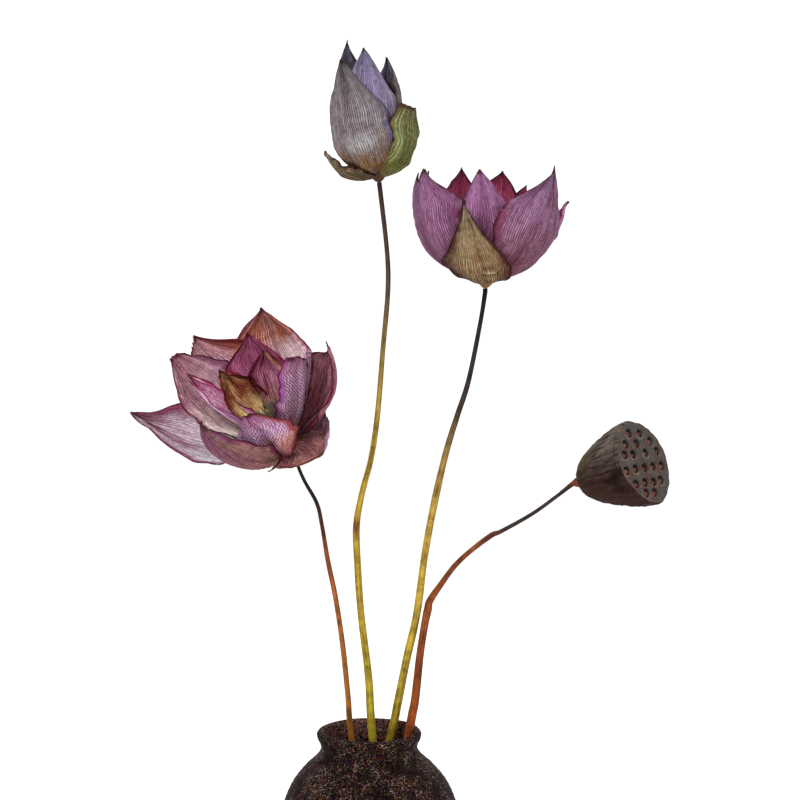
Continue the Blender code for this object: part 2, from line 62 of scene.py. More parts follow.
def linear(code: int) -> Colour:
    """Turn a display colour into the linear one that a shader takes.

    Args:
        code: Red, green and blue as one hexadecimal number.

    Returns:
        The linear colour with an alpha of one.
    """
    shares = [((code >> shift) & 255) / 255.0 for shift in (16, 8, 0)]
    return (*[c / 12.92 if c <= 0.04045 else ((c + 0.055) / 1.055) ** 2.4 for c in shares], 1.0)


def paint(code: int, light: float) -> Colour:
    """The colour that looks like a display colour once so much of the studio's light falls on it."""
    return (*[min(0.95, channel / light) for channel in linear(code)[:3]], 1.0)


class Value:
    """The output of a shader node, on which Python's operators add Math nodes."""

    def __init__(self, graph: "Graph", socket: bpy.types.NodeSocket | None) -> None:
        """Wrap a socket of a graph, or nothing for a node without outputs."""
        self.graph = graph
        self.socket = socket

    def __add__(self, other: "Value | float") -> "Value":
        """The sum."""
        return self.graph.maths("ADD", self, other)

    def __sub__(self, other: "Value | float") -> "Value":
        """The difference."""
        return self.graph.maths("SUBTRACT", self, other)

    def __rsub__(self, other: float) -> "Value":
        """A number less this value."""
        return self.graph.maths("SUBTRACT", other, self)

    def __mul__(self, other: "Value | float") -> "Value":
        """The product."""
        return self.graph.maths("MULTIPLY", self, other)

    __radd__ = __add__
    __rmul__ = __mul__

    def size(self) -> "Value":
        """The value without its sign."""
        return self.graph.maths("ABSOLUTE", self)

    def wave(self) -> "Value":
        """A sine of the value, moved to run from 0 to 1."""
        return self.graph.maths("SINE", self) * 0.5 + 0.5

    def kept(self) -> "Value":
        """The value kept between 0 and 1."""
        return self.smooth(0.0, 1.0, "LINEAR")

    def smooth(self, low: float, high: float, how: str = "SMOOTHSTEP") -> "Value":
        """Ease from 0 at one value to 1 at another.

        Args:
            low: Where the result is 0.
            high: Where the result is 1.
            how: Kind of interpolation.

        Returns:
            The eased value.
        """
        settings = {"interpolation_type": how, "clamp": True}
        return self.graph.add("ShaderNodeMapRange", settings, {0: self, 1: low, 2: high})


class Graph:
    """The node tree of one material, where a whole number stands for a display colour."""

    def __init__(self, name: str, light: float = 1.0) -> None:
        """Start an empty material.

        Args:
            name: The material's name.
            light: How much of the studio's light falls on it.
        """
        self.light = light
        self.material = bpy.data.materials.new(name)
        self.material.use_nodes = True
        self.tree = self.material.node_tree
        self.tree.nodes.clear()

    def add(self, kind: str, settings: dict[str, Any] | None = None, sockets: dict[Any, Any] | None = None,
            output: int | str = 0) -> Value:
        """Add a node.

        Args:
            kind: The node's type.
            settings: The node's own properties, set first. "stops" are the stops of its colour ramp.
            sockets: The values of its inputs, or what is linked to them.
            output: Which output to return.

        Returns:
            The chosen output.
        """
        node = self.tree.nodes.new(kind)
        for key, setting in (settings or {}).items():
            if key == "stops":
                self._place_stops(node.color_ramp, setting)
            else:
                setattr(node, key, setting)
        for key, value in (sockets or {}).items():
            if isinstance(value, Value):
                self.tree.links.new(value.socket, node.inputs[key])
            else:
                node.inputs[key].default_value = value
        return Value(self, node.outputs[output] if node.outputs else None)

    @staticmethod
    def _place_stops(ramp: bpy.types.ColorRamp, stops: list[tuple[float, Colour]]) -> None:
        """Give a colour ramp its stops.

        Args:
            ramp: The colour ramp.
            stops: Position and colour of each.
        """
        while len(ramp.elements) < len(stops):
            ramp.elements.new(1.0)
        for element, (position, colour) in zip(ramp.elements, stops):
            element.position = position
            element.color = colour

    def shade(self, colour: Value | Colour | int) -> Value | Colour:
        """The paint for a display colour in this material's light, or any other colour as it is."""
        return paint(colour, self.light) if isinstance(colour, int) else colour

    def maths(self, operation: str, *values: Value | float) -> Value:
        """One Math node."""
        return self.add("ShaderNodeMath", {"operation": operation}, dict(enumerate(values)))

    def attribute(self, name: str) -> Value:
        """A number that the mesh carries at its points."""
        return self.add("ShaderNodeAttribute", {"attribute_name": name}, output="Fac")

    def place(self) -> Value:
        """Object coordinates."""
        return self.add("ShaderNodeTexCoord", output="Object")

    def vector(self, x: Value | float, y: Value | float, z: Value | float) -> Value:
        """Three numbers as one vector."""
        return self.add("ShaderNodeCombineXYZ", sockets={0: x, 1: y, 2: z})

    def noise(self, at: Value, scale: float, detail: float = 3.0, distortion: float = 0.0) -> Value:
        """Cloudy noise between 0 and 1.

        Args:
            at: Coordinates.
            scale: Clouds per unit.
            detail: Finer layers.
            distortion: How far the clouds are stirred.

        Returns:
            The noise.
        """
        sockets = {"Vector": at, "Scale": scale, "Detail": detail, "Distortion": distortion}
        return self.add("ShaderNodeTexNoise", sockets=sockets)

    def ramp(self, amount: Value, *stops: tuple[float, int]) -> Value:
        """A colour ramp through the stops."""
        painted = [(position, self.shade(colour)) for position, colour in stops]
        return self.add("ShaderNodeValToRGB", {"stops": painted}, {0: amount})

    def blend(self, amount: Value | float, first: Value | Colour | int, second: Value | Colour | int,
              mode: str = "MIX") -> Value:
        """Blend two colours.

        Args:
            amount: Share of the second colour.
            first: The colour at 0.
            second: The colour at 1.
            mode: How they are blended.

        Returns:
            The blended colour.
        """
        settings = {"data_type": "RGBA", "blend_type": mode}
        sockets = {0: amount, 6: self.shade(first), 7: self.shade(second)}
        return self.add("ShaderNodeMix", settings, sockets, 2)

    def layers(self, colour: Value | int, *coats: tuple[Value, Value | Colour | int]) -> Value:
        """Lay colours over one another.

        Args:
            colour: The lowest colour.
            coats: Share and colour of each further one, from below.

        Returns:
            The blended colour.
        """
        for share, coat in coats:
            colour = self.blend(share, colour, coat)
        return colour

    def finish(self, colour: Value, roughness: Value | float, height: Value, depth: float,
               shine: float = 0.5) -> bpy.types.Material:
        """Close the graph with a Principled shader.

        Args:
            colour: Base colour.
            roughness: Roughness.
            height: Relief between 0 and 1, for the bump.
            depth: How deep that relief is, in metres.
            shine: How strongly it mirrors the light.

        Returns:
            The material.
        """
        normal = self.add("ShaderNodeBump", sockets={"Strength": 1.0, "Distance": depth, "Height": height})
        sockets = {"Base Color": colour, "Roughness": roughness, "Normal": normal}
        sockets["Specular IOR Level"] = shine
        shader = self.add("ShaderNodeBsdfPrincipled", sockets=sockets)
        self.add("ShaderNodeOutputMaterial", sockets={"Surface": shader})
        return self.material


# ---- meshes ----


def ripples(u: Array, v: Array, draw: np.random.Generator, waves: int, along: tuple[float, float],
            across: tuple[float, float]) -> Array:
    """Sum sine waves of random direction and phase, the long ones higher than the short ones.

    Args:
        u: First coordinate on a grid.
        v: Second coordinate on the grid.
        draw: The random numbers.
        waves: How many waves.
        along: Least and most waves per unit of u.
        across: Least and most waves per unit of v.

    Returns:
        The sum on the grid, about -1 to 1.
    """
    rate_u = draw.uniform(*along, waves)
    rate_v = draw.uniform(*across, waves) * draw.choice((-1.0, 1.0), waves)
    phase = draw.uniform(0.0, TAU, waves)
    share = 1.0 / (1.0 + np.hypot(rate_u, rate_v))
    angle = TAU * (np.multiply.outer(rate_u, u) + np.multiply.outer(rate_v, v)) + phase[:, None, None]
    return 1.4 * np.tensordot(share, np.sin(angle), 1) / share.sum()


def curve_between(a: Array, b: Array, c: Array, d: Array, t: Array) -> Array:
    """Catmull-Rom from b to c: half of 2b + (c - a)t + (2a - 5b + 4c - d)t^2 + (3b - a - 3c + d)t^3."""
    return 0.5 * (2 * b + (c - a) * t + (2 * a - 5 * b + 4 * c - d) * t**2 + (3 * b - a - 3 * c + d) * t**3)


def running_sum(steps: Array) -> Array:
    """Nothing, and then the sum of the steps up to each of them."""
    return np.concatenate([[0], np.cumsum(steps)])


def travelled(path: Array) -> Array:
    """How far along a path each of its points lies."""
    return running_sum(np.linalg.norm(np.diff(path, axis=0), axis=1))


def round_angles(sides: int) -> Array:
    """Angles of the points of a ring."""
    return np.linspace(0.0, TAU, sides, endpoint=False)


def profile(x: Array, values: tuple[float, ...]) -> Array:
    """Read a Catmull-Rom curve through values that are evenly spaced from 0 to 1.

    Args:
        x: Positions between 0 and 1.
        values: The curve's values, at least two.

    Returns:
        The curve at those positions.
    """
    padded = np.concatenate([[2 * values[0] - values[1]], values, [2 * values[-1] - values[-2]]])
    place = np.clip(x, 0.0, 1.0) * (len(values) - 1)
    k = np.minimum(place.astype(int), len(values) - 2)
    return curve_between(*(padded[k + n] for n in range(4)), place - k)


def ease(x: Array, low: float, high: float) -> Array:
    """Smoothstep: 0 below low, 1 above high, and 3t^2 - 2t^3 between them."""
    t = np.clip((x - low) / (high - low), 0.0, 1.0)
    return t * t * (3.0 - 2.0 * t)


def grid_quads(rows: int, columns: int, closed: bool) -> Array:
    """Number the corners of a grid's quads.

    Args:
        rows: Points along the first side.
        columns: Points along the second side.
        closed: Whether the last column joins the first.

    Returns:
        One row of four point numbers for each quad.
    """
    i, j = np.meshgrid(np.arange(rows - 1), np.arange(columns if closed else columns - 1), indexing="ij")
    after = (j + 1) % columns
    low, high = i * columns, (i + 1) * columns
    return np.stack([low + j, low + after, high + after, high + j], -1).reshape(-1, 4)


def copied_faces(faces: list[Array], copies: int, points: int) -> list[Array]:
    """Number the faces of many copies of a mesh.

    Args:
        faces: The faces of the first copy.
        copies: How many there are.
        points: How many points each has.

    Returns:
        The faces of them all.
    """
    step = (np.arange(copies) * points)[:, None, None]
    return [(f[None] + step).reshape(-1, f.shape[1]) for f in faces]


def mesh_piece(name: str, points: Array, faces: list[Array], material: bpy.types.Material,
               attributes: dict[str, Array] | None = None) -> bpy.types.Object:
    """Make a smooth mesh object at the origin.

    Args:
        name: The piece's name.
        points: One row of x, y, z for each point.
        faces: Arrays of faces, each with one row of point numbers for each face.
        material: Its finish.
        attributes: Numbers that the points carry, by name.

    Returns:
        The object.
    """
    mesh = bpy.data.meshes.new(name)
    loops = np.concatenate([f.ravel() for f in faces]).astype(np.int32)
    sides = np.concatenate([np.full(len(f), f.shape[1]) for f in faces]).astype(np.int32)
    mesh.vertices.add(len(points))
    mesh.vertices.foreach_set("co", np.asarray(points, np.float32).ravel())
    mesh.loops.add(len(loops))
    mesh.loops.foreach_set("vertex_index", loops)
    mesh.polygons.add(len(sides))
    mesh.polygons.foreach_set("loop_start", running_sum(sides)[:-1].astype(np.int32))
    mesh.polygons.foreach_set("use_smooth", np.ones(len(sides), bool))
    mesh.update(calc_edges=True)
    for key, values in (attributes or {}).items():
        layer = mesh.attributes.new(key, "FLOAT", "POINT")
        layer.data.foreach_set("value", np.asarray(values, np.float32).ravel())
    mesh.validate()
    piece = bpy.data.objects.new(name, mesh)
    bpy.context.scene.collection.objects.link(piece)
    mesh.materials.append(material)
    return piece


class Slot(Enum):
    """The record's material slots."""

    GLAZE = "glaze"
    STEM = "stem"
    MAUVE = "petal_mauve"
    PINK = "petal_pink"
    GREY = "petal_grey"
    GREEN = "sepal_green"
    TAN = "guard_tan"
    ORANGE = "calyx_orange"
    GOLD = "heart_gold"
    POD = "pod_grey"


def place_piece(piece: bpy.types.Object, slot: Slot, node: str) -> None:
    """Tie a piece to the part's body and report it.

    Args:
        piece: The piece.
        slot: Its material slot.
        node: The node that it stands for.
    """
    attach(piece, BODY)
    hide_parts(node)
    LOG.info("%s: %d faces, finish %s", piece.name, len(piece.data.polygons), slot.value)


@dataclass(frozen=True)
class AxisFrame:
    """A frame at base whose Z follows axis and whose X leans as little as it can from world X."""

    base: tuple[float, float, float]
    axis: tuple[float, float, float]

    def world(self, points: Array) -> Array:
        """Move points from this frame to the part's frame.

        Args:
            points: Rows of x, y, z in this frame.

        Returns:
            The same points in the part's frame.
        """
        z = np.array(self.axis) / np.linalg.norm(self.axis)
        x = np.array((1.0, 0.0, 0.0)) - z * z[0]
        x /= np.linalg.norm(x)
        return points.reshape(-1, 3) @ np.stack([x, np.cross(z, x), z]) + np.array(self.base)


def smooth_path(knots: Array, samples: int) -> Array:
    """Carry a Catmull-Rom curve through the knots and sample it evenly by distance.

    Args:
        knots: Rows of up to three coordinates, with any further column carried along.
        samples: How many points to return.

    Returns:
        The sampled rows.
    """
    padded = np.vstack([2 * knots[0] - knots[1], knots, 2 * knots[-1] - knots[-2]])
    t = np.linspace(0.0, 1.0, 24, endpoint=False)[None, :, None]
    curve = curve_between(*(padded[k:len(padded) - 3 + k, None] for k in range(4)), t)
    dense = np.vstack([curve.reshape(-1, knots.shape[1]), knots[-1]])
    reached = travelled(dense[:, :3])
    wanted = np.linspace(0.0, reached[-1], samples)
    return np.stack([np.interp(wanted, reached, column) for column in dense.T], axis=1)


def turned_grid(radii: Array, heights: Array, sides: int) -> Array:
    """Turn a profile about Z: the point at angle a is (r cos a, r sin a, z).

    Args:
        radii: Radii of each ring, one for each side or one for all.
        heights: Height of each ring.
        sides: Points round a ring.

    Returns:
        The points as rings by sides by 3.
    """
    angle = round_angles(sides)
    return np.stack([radii * np.cos(angle), radii * np.sin(angle), np.repeat(heights[:, None], sides, 1)], -1)


def closed_rings(points: Array) -> tuple[Array, list[Array]]:
    """Join rings of points into a solid, with a fan to a middle point at both ends.

    Args:
        points: Rings by sides by 3.

    Returns:
        The points in rows, and the faces.
    """
    rings, sides, _ = points.shape
    middle = np.full(sides, rings * sides)
    k = np.arange(sides)
    after = (k + 1) % sides
    top = (rings - 1) * sides
    flat = np.vstack([points.reshape(-1, 3), points[0].mean(0), points[-1].mean(0)])
    fans = [np.stack([middle, after, k], 1), np.stack([middle + 1, top + k, top + after], 1)]
    return flat, [grid_quads(rings, sides, True), *fans]


# ---- finishes ----


@dataclass(frozen=True)
class PetalFinish:
    """A dried petal: colours from root to tip on both faces, veins, patches, blots, darker edges, painted
    shade in the valleys of its folds and dents, and a painted highlight on the crests of its dents.

    Attributes:
        outside: Colours of the outer face at its root, low down, high up and at its tip.
        inside: The same for the inner face.
        left: Colour of the left edge, and how far it reaches in as a share of the half width.
        right: The same for the right edge.
        wash: Colour of the large soft patches, and how strong they are.
        stain_and_dent_shade: Colour of the blots, which also paints shade in the troughs of dents, and how
            much of the petal the blots cover.
        rib: Colour of the ribs' crests, which also paints a highlight on the crests of dents, and how clear
            the ribs are.
        vein: Colour of the broken lines between the ribs, and how clear they are.
        hem: Colour of the very edge.
        spacing: From one rib to the next at the belly, in metres.
        feather: How clearly slanting pale veins cross the ribs.
        light: How much of the studio's light reaches the petal between its neighbours.
        weave: Contrast of the fine relief in the colour.
        stops: Where the four colours of a face lie, from root to tip.
    """

    outside: tuple[int, int, int, int]
    inside: tuple[int, int, int, int]
    left: tuple[int, float]
    right: tuple[int, float]
    wash: tuple[int, float]
    stain_and_dent_shade: tuple[int, float]
    rib: tuple[int, float]
    vein: tuple[int, float]
    hem: int = 0x4A1424
    spacing: float = 0.0019
    feather: float = 0.0
    light: float = 1.0
    weave: float = 0.75
    stops: tuple[float, float, float, float] = (0.0, 0.24, 0.68, 0.96)

    def material(self, name: str, seed: float, width: float) -> bpy.types.Material:
        """Build the finish from the petal's own coordinates.

        Args:
            name: The material's name.
            seed: Moves the noise, so that no two petals match.
            width: The petal's width in metres.

        Returns:
            The material.
        """
        g = Graph(name, self.light)
        u, v, inner, relief, dent = (g.attribute(k) for k in ("along", "across", "inner", "relief", "dent"))
        place = g.place()
        count = round(width / self.spacing)
        patch = g.noise(g.vector(v * 1.3, u * 2.2, seed), 1.0, 2.0, 0.5)
        cloud = g.noise(place, 120.0, 5.0, 0.8)
        grain = g.noise(place, 900.0, 3.0)
        fibre = g.noise(g.vector(v * (count * 0.8), u * 7.0, seed), 1.0, 3.0)
        dash = g.noise(g.vector(v * (count * 1.3), u * 44.0, seed + 7.0), 1.0, 2.0)
        at = (u + (cloud - 0.5) * 0.22 + (fibre - 0.5) * 0.1).kept()
        blot = (cloud * 0.6 + patch * 0.4).smooth(0.6 - 0.2 * self.stain_and_dent_shade[1], 0.72)
        colour = g.layers(
            g.ramp(at, *zip(self.stops, self.outside)),
            (inner, g.ramp(at, *zip(self.stops, self.inside))),
            (patch.smooth(0.44, 0.6) * self.wash[1], self.wash[0]),
            (blot * min(1.0, 2.0 * self.stain_and_dent_shade[1]), self.stain_and_dent_shade[0]),
            # Painted highlight on the crests of dents; then blots from the noise together with painted shade
            # in the troughs of dents.
            (dent.smooth(0.1, 0.9) * 0.75, self.rib[0]),
            ((cloud - 0.5 - dent).smooth(0.15, 0.85) * 0.75, self.stain_and_dent_shade[0]),
        )
        rib, colour = self.veins(g, colour, fibre, dash, cloud * 4.0 + patch * 6.0, count)
        if self.feather:
            slant = (v.size() * (2.0 * count) - u * 150.0 + cloud * 11.0 + patch * 6.0).wave()
            veil = slant.smooth(0.6, 0.97) * fibre.smooth(0.3, 0.52) * self.feather
            colour = g.blend(veil * u.smooth(0.1, 0.3) * u.smooth(1.0, 0.8), colour, 0xE0D2DE)
        stray = (fibre - 0.5) * 0.25 + (cloud - 0.5) * 0.45
        edges = [((side + stray).smooth(1.0 - 1.5 * reach, 1.0 - 0.35 * reach) * 0.92, code)
                 for side, (code, reach) in ((v * -1.0, self.left), (v, self.right))]
        hem = g.maths("MAXIMUM", v.size().smooth(0.92, 0.97), u.smooth(0.95, 0.98))
        colour = g.layers(colour, *edges, (hem * cloud.smooth(0.28, 0.46) * 0.9, self.hem))
        # Painted shade: darker in the valleys of the folds, on whichever face they sink.
        painted_fold_shade = (relief * (inner * 2.0 - 1.0)).smooth(0.3, -0.9)
        colour = g.blend(painted_fold_shade * 0.55, colour, g.blend(1.0, colour, (0.45, 0.25, 0.32, 1.0), "MULTIPLY"))
        height = rib * 0.45 + fibre * 0.3 + grain * 0.15 + dash * 0.25
        return g.finish(colour, 0.66 + grain * 0.2, height, 0.001, 0.12)

    def veins(self, g: Graph, colour: Value, fibre: Value, dash: Value, bend: Value,
              count: int) -> tuple[Value, Value]:
        """Draw pale ribs from root to tip, with broken dark lines between them.

        Args:
            g: The graph.
            colour: The colour beneath.
            fibre: Long streaks of noise.
            dash: Short streaks of noise.
            bend: Moves the ribs sideways.
            count: Ribs from edge to edge.

        Returns:
            The ribs' height, and the veined colour.
        """
        rib = (g.attribute("across") * (math.pi * count) + bend).wave()
        crest = rib.smooth(0.35, 0.95) * fibre.smooth(0.38, 0.62) * self.rib[1]
        trough = rib.smooth(0.45, 0.05) * dash.smooth(0.42, 0.6) * self.vein[1]
        colour = g.layers(colour, (crest, self.rib[0]), (trough, self.vein[0]))
        tone = rib * 0.25 + dash.smooth(0.32, 0.68) * 0.3 + fibre.smooth(0.3, 0.7) * 0.2
        tone = tone + g.noise(g.place(), 260.0, 4.0, 0.5).smooth(0.3, 0.7) * 0.25
        return rib, g.blend(self.weave, colour, tone, "OVERLAY")


@dataclass(frozen=True)
class StemFinish:
    """A dried stalk, coloured along its visible length.

    Attributes:
        stops: Position and display colour of each of its colours.
        LIGHT: How much of the studio's light falls on it.
    """

    stops: tuple[tuple[float, int], ...]

    LIGHT = 1.35

    def material(self, name: str, seed: float) -> bpy.types.Material:
        """Build the finish, with lengthwise grain and dark flecks.

        Args:
            name: The material's name.
            seed: Moves the noise.

        Returns:
            The material.
        """
        g = Graph(name, self.LIGHT)
        along, around = g.attribute("along"), g.attribute("around")
        place = g.place()
        streak = g.noise(g.vector(around * 9.0, along * 9.0, seed), 1.0, 4.0)
        fleck = g.noise(place, 420.0, 3.0)
        at = (along + (streak - 0.5) * 0.1).kept()
        tone = streak.smooth(0.3, 0.7) * 0.6 + g.noise(place, 130.0, 3.0).smooth(0.3, 0.7) * 0.4
        colour = g.blend(0.8, g.ramp(at, *self.stops), tone, "OVERLAY")
        colour = g.blend(fleck.smooth(0.6, 0.72) * 0.5, colour, linear(0x2A1208))
        return g.finish(colour, 0.55 + fleck * 0.15, streak * 0.8 + fleck * 0.2, 0.0008, 0.12)


@dataclass(frozen=True)
class GlazeFinish:
    """A dark stoneware glaze, closely broken with rust, olive and purple specks, and pale specks that are
    painted glints.
    """

    ground: int = 0x050101
    rust: int = 0x3C140A
    olive: int = 0x2A2408
    purple: int = 0x1C081A
    pale: int = 0xB8AAA0
    lining: int = 0x6E463E

    def material(self, name: str) -> bpy.types.Material:
        """Build the finish.

        Args:
            name: The material's name.

        Returns:
            The material.
        """
        g = Graph(name)
        place = g.place()
        cloud = g.noise(place, 70.0, 4.0, 0.8)
        speck = g.noise(place, 520.0, 4.0, 0.6)
        crumb = g.noise(place, 1100.0, 2.0)
        spots = [(g.noise(place, scale, 3.0, 1.0).smooth(0.54, 0.62) * 0.85, code)
                 for scale, code in ((380.0, self.olive), (330.0, self.purple), (450.0, self.ground))]
        colour = g.layers(
            self.ground,
            ((cloud * 0.3 + speck * 0.7).smooth(0.5, 0.6), self.rust),
            *spots,
            # Painted glints: pale specks over the glaze.
            (crumb.smooth(0.6, 0.71) * cloud.smooth(0.34, 0.62) * 0.85, self.pale),
            (g.attribute("inner") * speck.smooth(0.44, 0.58) * 0.55, self.lining),
        )
        height = speck * 0.5 + crumb * 0.3 + cloud * 0.2
        return g.finish(colour, 0.5 + speck * 0.3, height, 0.0012, 0.03)


@dataclass(frozen=True)
class PodFinish:
    """A dried seed pod: grey-brown wrinkled wall, mossy shoulder, dark red-brown underside, slate face and
    holes painted dark as shade.
    """

    wall: int = 0x544A42
    wall_dark: int = 0x261C18
    moss: int = 0x4A3E1C
    foot: int = 0x240402
    face: int = 0x46362E
    slate: int = 0x40403E
    face_grain: int = 0x322624
    face_speck: int = 0x605652
    lip: int = 0x8A6656
    hole_shade: int = 0x100404
    specks_and_shadow: int = 0x0E0806

    def material(self, name: str) -> bpy.types.Material:
        """Build the finish from the numbers that the pod's points carry.

        Args:
            name: The material's name.

        Returns:
            The material.
        """
        g = Graph(name)
        place = g.place()
        climb, face, hole, lip, relief = (g.attribute(k) for k in ("climb", "face", "hole", "lip", "relief"))
        around, low = g.attribute("around"), g.attribute("low")
        cloud = g.noise(place, 90.0, 5.0, 0.8)
        grain = g.noise(place, 700.0, 3.0)
        fibre = g.noise(g.vector(around * 70.0, climb * 3.0, 3.0), 1.0, 5.0, 0.6)
        rim = (climb - 0.945).size().smooth(0.016, 0.0) * (1.0 - face)
        top = g.layers(
            self.face,
            (cloud.smooth(0.35, 0.62), self.slate),
            (grain.smooth(0.5, 0.66) * 0.6, self.face_grain),
            (g.noise(place, 420.0, 2.0).smooth(0.58, 0.7) * 0.5, self.face_speck),
        )
        colour = g.layers(
            self.wall_dark,
            ((fibre * 0.8 + cloud * 0.2).smooth(0.38, 0.58), self.wall),
            ((cloud - climb).smooth(-0.15, 0.35) * 0.75, self.moss),
            # Dark red-brown towards the lower side of the pod, patchy by the noise.
            ((low + cloud * 0.8 - climb * 0.2).smooth(0.55, 1.05) * 0.85, self.foot),
            # Fine dark specks of the wall's own grain, in the same colour as the painted shade.
            (grain.smooth(0.54, 0.7) * 0.35, self.specks_and_shadow),
            (face, top),
            # Painted shade in a line just under the rim, round most of the pod.
            (rim * around.smooth(0.25, 0.45) * 0.55, self.specks_and_shadow),
            # Painted shade in the folds and creases of the wall.
            (relief.smooth(0.0, -0.9) * 0.75, self.specks_and_shadow),
            # Painted highlight on the lower lip of each hole.
            (lip * cloud.smooth(0.4, 0.6) * 0.5, self.lip),
            # The holes painted near black as shade.
            (hole, self.hole_shade),
        )
        height = fibre * 0.6 + grain * 0.25 + cloud * 0.15
        return g.finish(colour, 0.72 + grain * 0.12, height, 0.0012, 0.08)


@dataclass(frozen=True)
class GrainFinish:
    """A dry surface of two blended colours, darker or brighter at the tips of its parts.

    Attributes:
        first: One colour.
        second: The other one.
        tip: The colour far out.
    """

    first: int
    second: int
    tip: int

    def material(self, name: str) -> bpy.types.Material:
        """Build the finish, with the tip colour by the attribute that tells how far out a point is.

        Args:
            name: The material's name.

        Returns:
            The material.
        """
        g = Graph(name)
        place = g.place()
        cloud = g.noise(place, 160.0, 4.0, 0.6)
        grain = g.noise(place, 900.0, 3.0)
        coats = (cloud.smooth(0.35, 0.65), self.second), (g.attribute("far").smooth(0.55, 0.85), self.tip)
        return g.finish(g.layers(self.first, *coats), 0.7, cloud * 0.6 + grain * 0.4, 0.0005, 0.25)


PINK = PetalFinish(
    outside=(0x7A5038, 0x824C60, 0x8C5C82, 0x86567C), inside=(0x8A5A3A, 0x7A3448, 0x742E48, 0x5A1E30),
    left=(0x6A2A48, 0.16), right=(0x7A2A4C, 0.14), wash=(0x7A4466, 0.5), stain_and_dent_shade=(0x743450, 0.3),
    rib=(0xA884A8, 0.55), vein=(0x5E2A4A, 0.6), light=0.82,
)
PINK_LEFT = replace(
    PINK, outside=(0x7A5038, 0x7A4052, 0x8A5E80, 0x86587C), left=(0x5C2038, 0.32), right=(0x5C142C, 0.13),
    stain_and_dent_shade=(0x743450, 0.25), rib=(0xA884A8, 0.5), light=1.32,
)
PINK_RIGHT = replace(
    PINK, outside=(0x7A5038, 0x6C3238, 0x8A5E80, 0x86628A),
    left=(0x7E3A5C, 0.12), right=(0x74405C, 0.16), wash=(0x744456, 0.5), stain_and_dent_shade=(0x6C3446, 0.4),
    rib=(0xA88CAA, 0.5), vein=(0x5E2E48, 0.6), light=1.3,
)
PINK_BACK = PetalFinish(
    outside=(0x7A5A3A, 0x80506A, 0x885A80, 0x7A4A6A), inside=(0x8A5A3A, 0x803448, 0x963E5C, 0x722034),
    left=(0x30060E, 0.2), right=(0x30060E, 0.2), wash=(0x762038, 0.5), stain_and_dent_shade=(0x480C18, 0.3),
    rib=(0x9A5478, 0.4), vein=(0x4A1428, 0.6), hem=0x200408, light=0.78,
)
TAN = PetalFinish(
    outside=(0x54300F, 0x5E3E1C, 0x94805E, 0x706858), inside=(0x8A6040, 0x8A5A50, 0x7A4A48, 0x5A2A2E),
    left=(0x3C1012, 0.26), right=(0x440C10, 0.24), wash=(0x80684C, 0.4), stain_and_dent_shade=(0x6A3018, 0.3),
    rib=(0xB0A282, 0.42), vein=(0x5A4028, 0.6), hem=0x2C080C, light=1.12,
)
LILAC_GREY = PetalFinish(
    outside=(0x66441C, 0x7A6C74, 0x82789A, 0x6A6484), inside=(0x7A5A3A, 0x605054, 0x564C56, 0x4A4048),
    left=(0x4A3C52, 0.08), right=(0x5A4A58, 0.1), wash=(0x80708A, 0.4), stain_and_dent_shade=(0x64504A, 0.2),
    rib=(0xA8A0B8, 0.55), vein=(0x463C50, 0.6), hem=0x2A1C28, light=1.25,
)
BROWN_GREY = PetalFinish(
    outside=(0x401A06, 0x825A1E, 0x7A6E70, 0x524C46), inside=(0x7A5A3A, 0x605048, 0x564A44, 0x4A3A38),
    left=(0x504A5E, 0.3), right=(0x544668, 0.16), wash=(0x747080, 0.35), stain_and_dent_shade=(0x5A3A2C, 0.38),
    rib=(0xA2A2A4, 0.42), vein=(0x46302A, 0.7), hem=0x2A1814, light=1.22, stops=(0.0, 0.17, 0.42, 0.96),
)
DUSK = PetalFinish(
    outside=(0x62401A, 0x5E4C44, 0x564A4A, 0x484250), inside=(0x7A5A3A, 0x5E4838, 0x563E38, 0x5E667E),
    left=(0x4A342E, 0.12), right=(0x5A5478, 0.22), wash=(0x665E66, 0.4), stain_and_dent_shade=(0x4A2A1A, 0.45),
    rib=(0x8A828A, 0.35), vein=(0x3A2A28, 0.6), hem=0x2A1818, light=1.05,
)
GREEN = PetalFinish(
    outside=(0x5A4A22, 0x5E622C, 0x7E8458, 0x5A4A3A), inside=(0x5A4A28, 0x5E5C3C, 0x6A6A4C, 0x544638),
    left=(0x5A4830, 0.16), right=(0x62683A, 0.1), wash=(0x4A5424, 0.7), stain_and_dent_shade=(0x5A3E1E, 0.4),
    rib=(0xA2A684, 0.2), vein=(0x444220, 0.25), hem=0x3A2010, spacing=0.003, weave=0.6,
)
OLIVE = PetalFinish(
    outside=(0x3E2A12, 0x584A2A, 0x645444, 0x847A6A), inside=(0x3E2A12, 0x50422C, 0x5E5040, 0x7A7060),
    left=(0x321A0A, 0.16), right=(0x3A2010, 0.16), wash=(0x5A4A2A, 0.4), stain_and_dent_shade=(0x30180A, 0.5),
    rib=(0x9A9078, 0.35), vein=(0x3A2818, 0.6), hem=0x241006, light=1.2,
)
BEIGE = PetalFinish(
    outside=(0x8A5A40, 0x9A808A, 0xA88A9C, 0x5A2A2E), inside=(0xA08A92, 0xAC96A2, 0x864428, 0x5C2018),
    left=(0x7E4A4C, 0.1), right=(0x743450, 0.16), wash=(0xB08E92, 0.3), stain_and_dent_shade=(0x74301C, 0.42),
    rib=(0xC0A4A4, 0.25), vein=(0x6A2822, 0.5), hem=0x4A1420, light=0.86, stops=(0.0, 0.62, 0.77, 0.97),
)
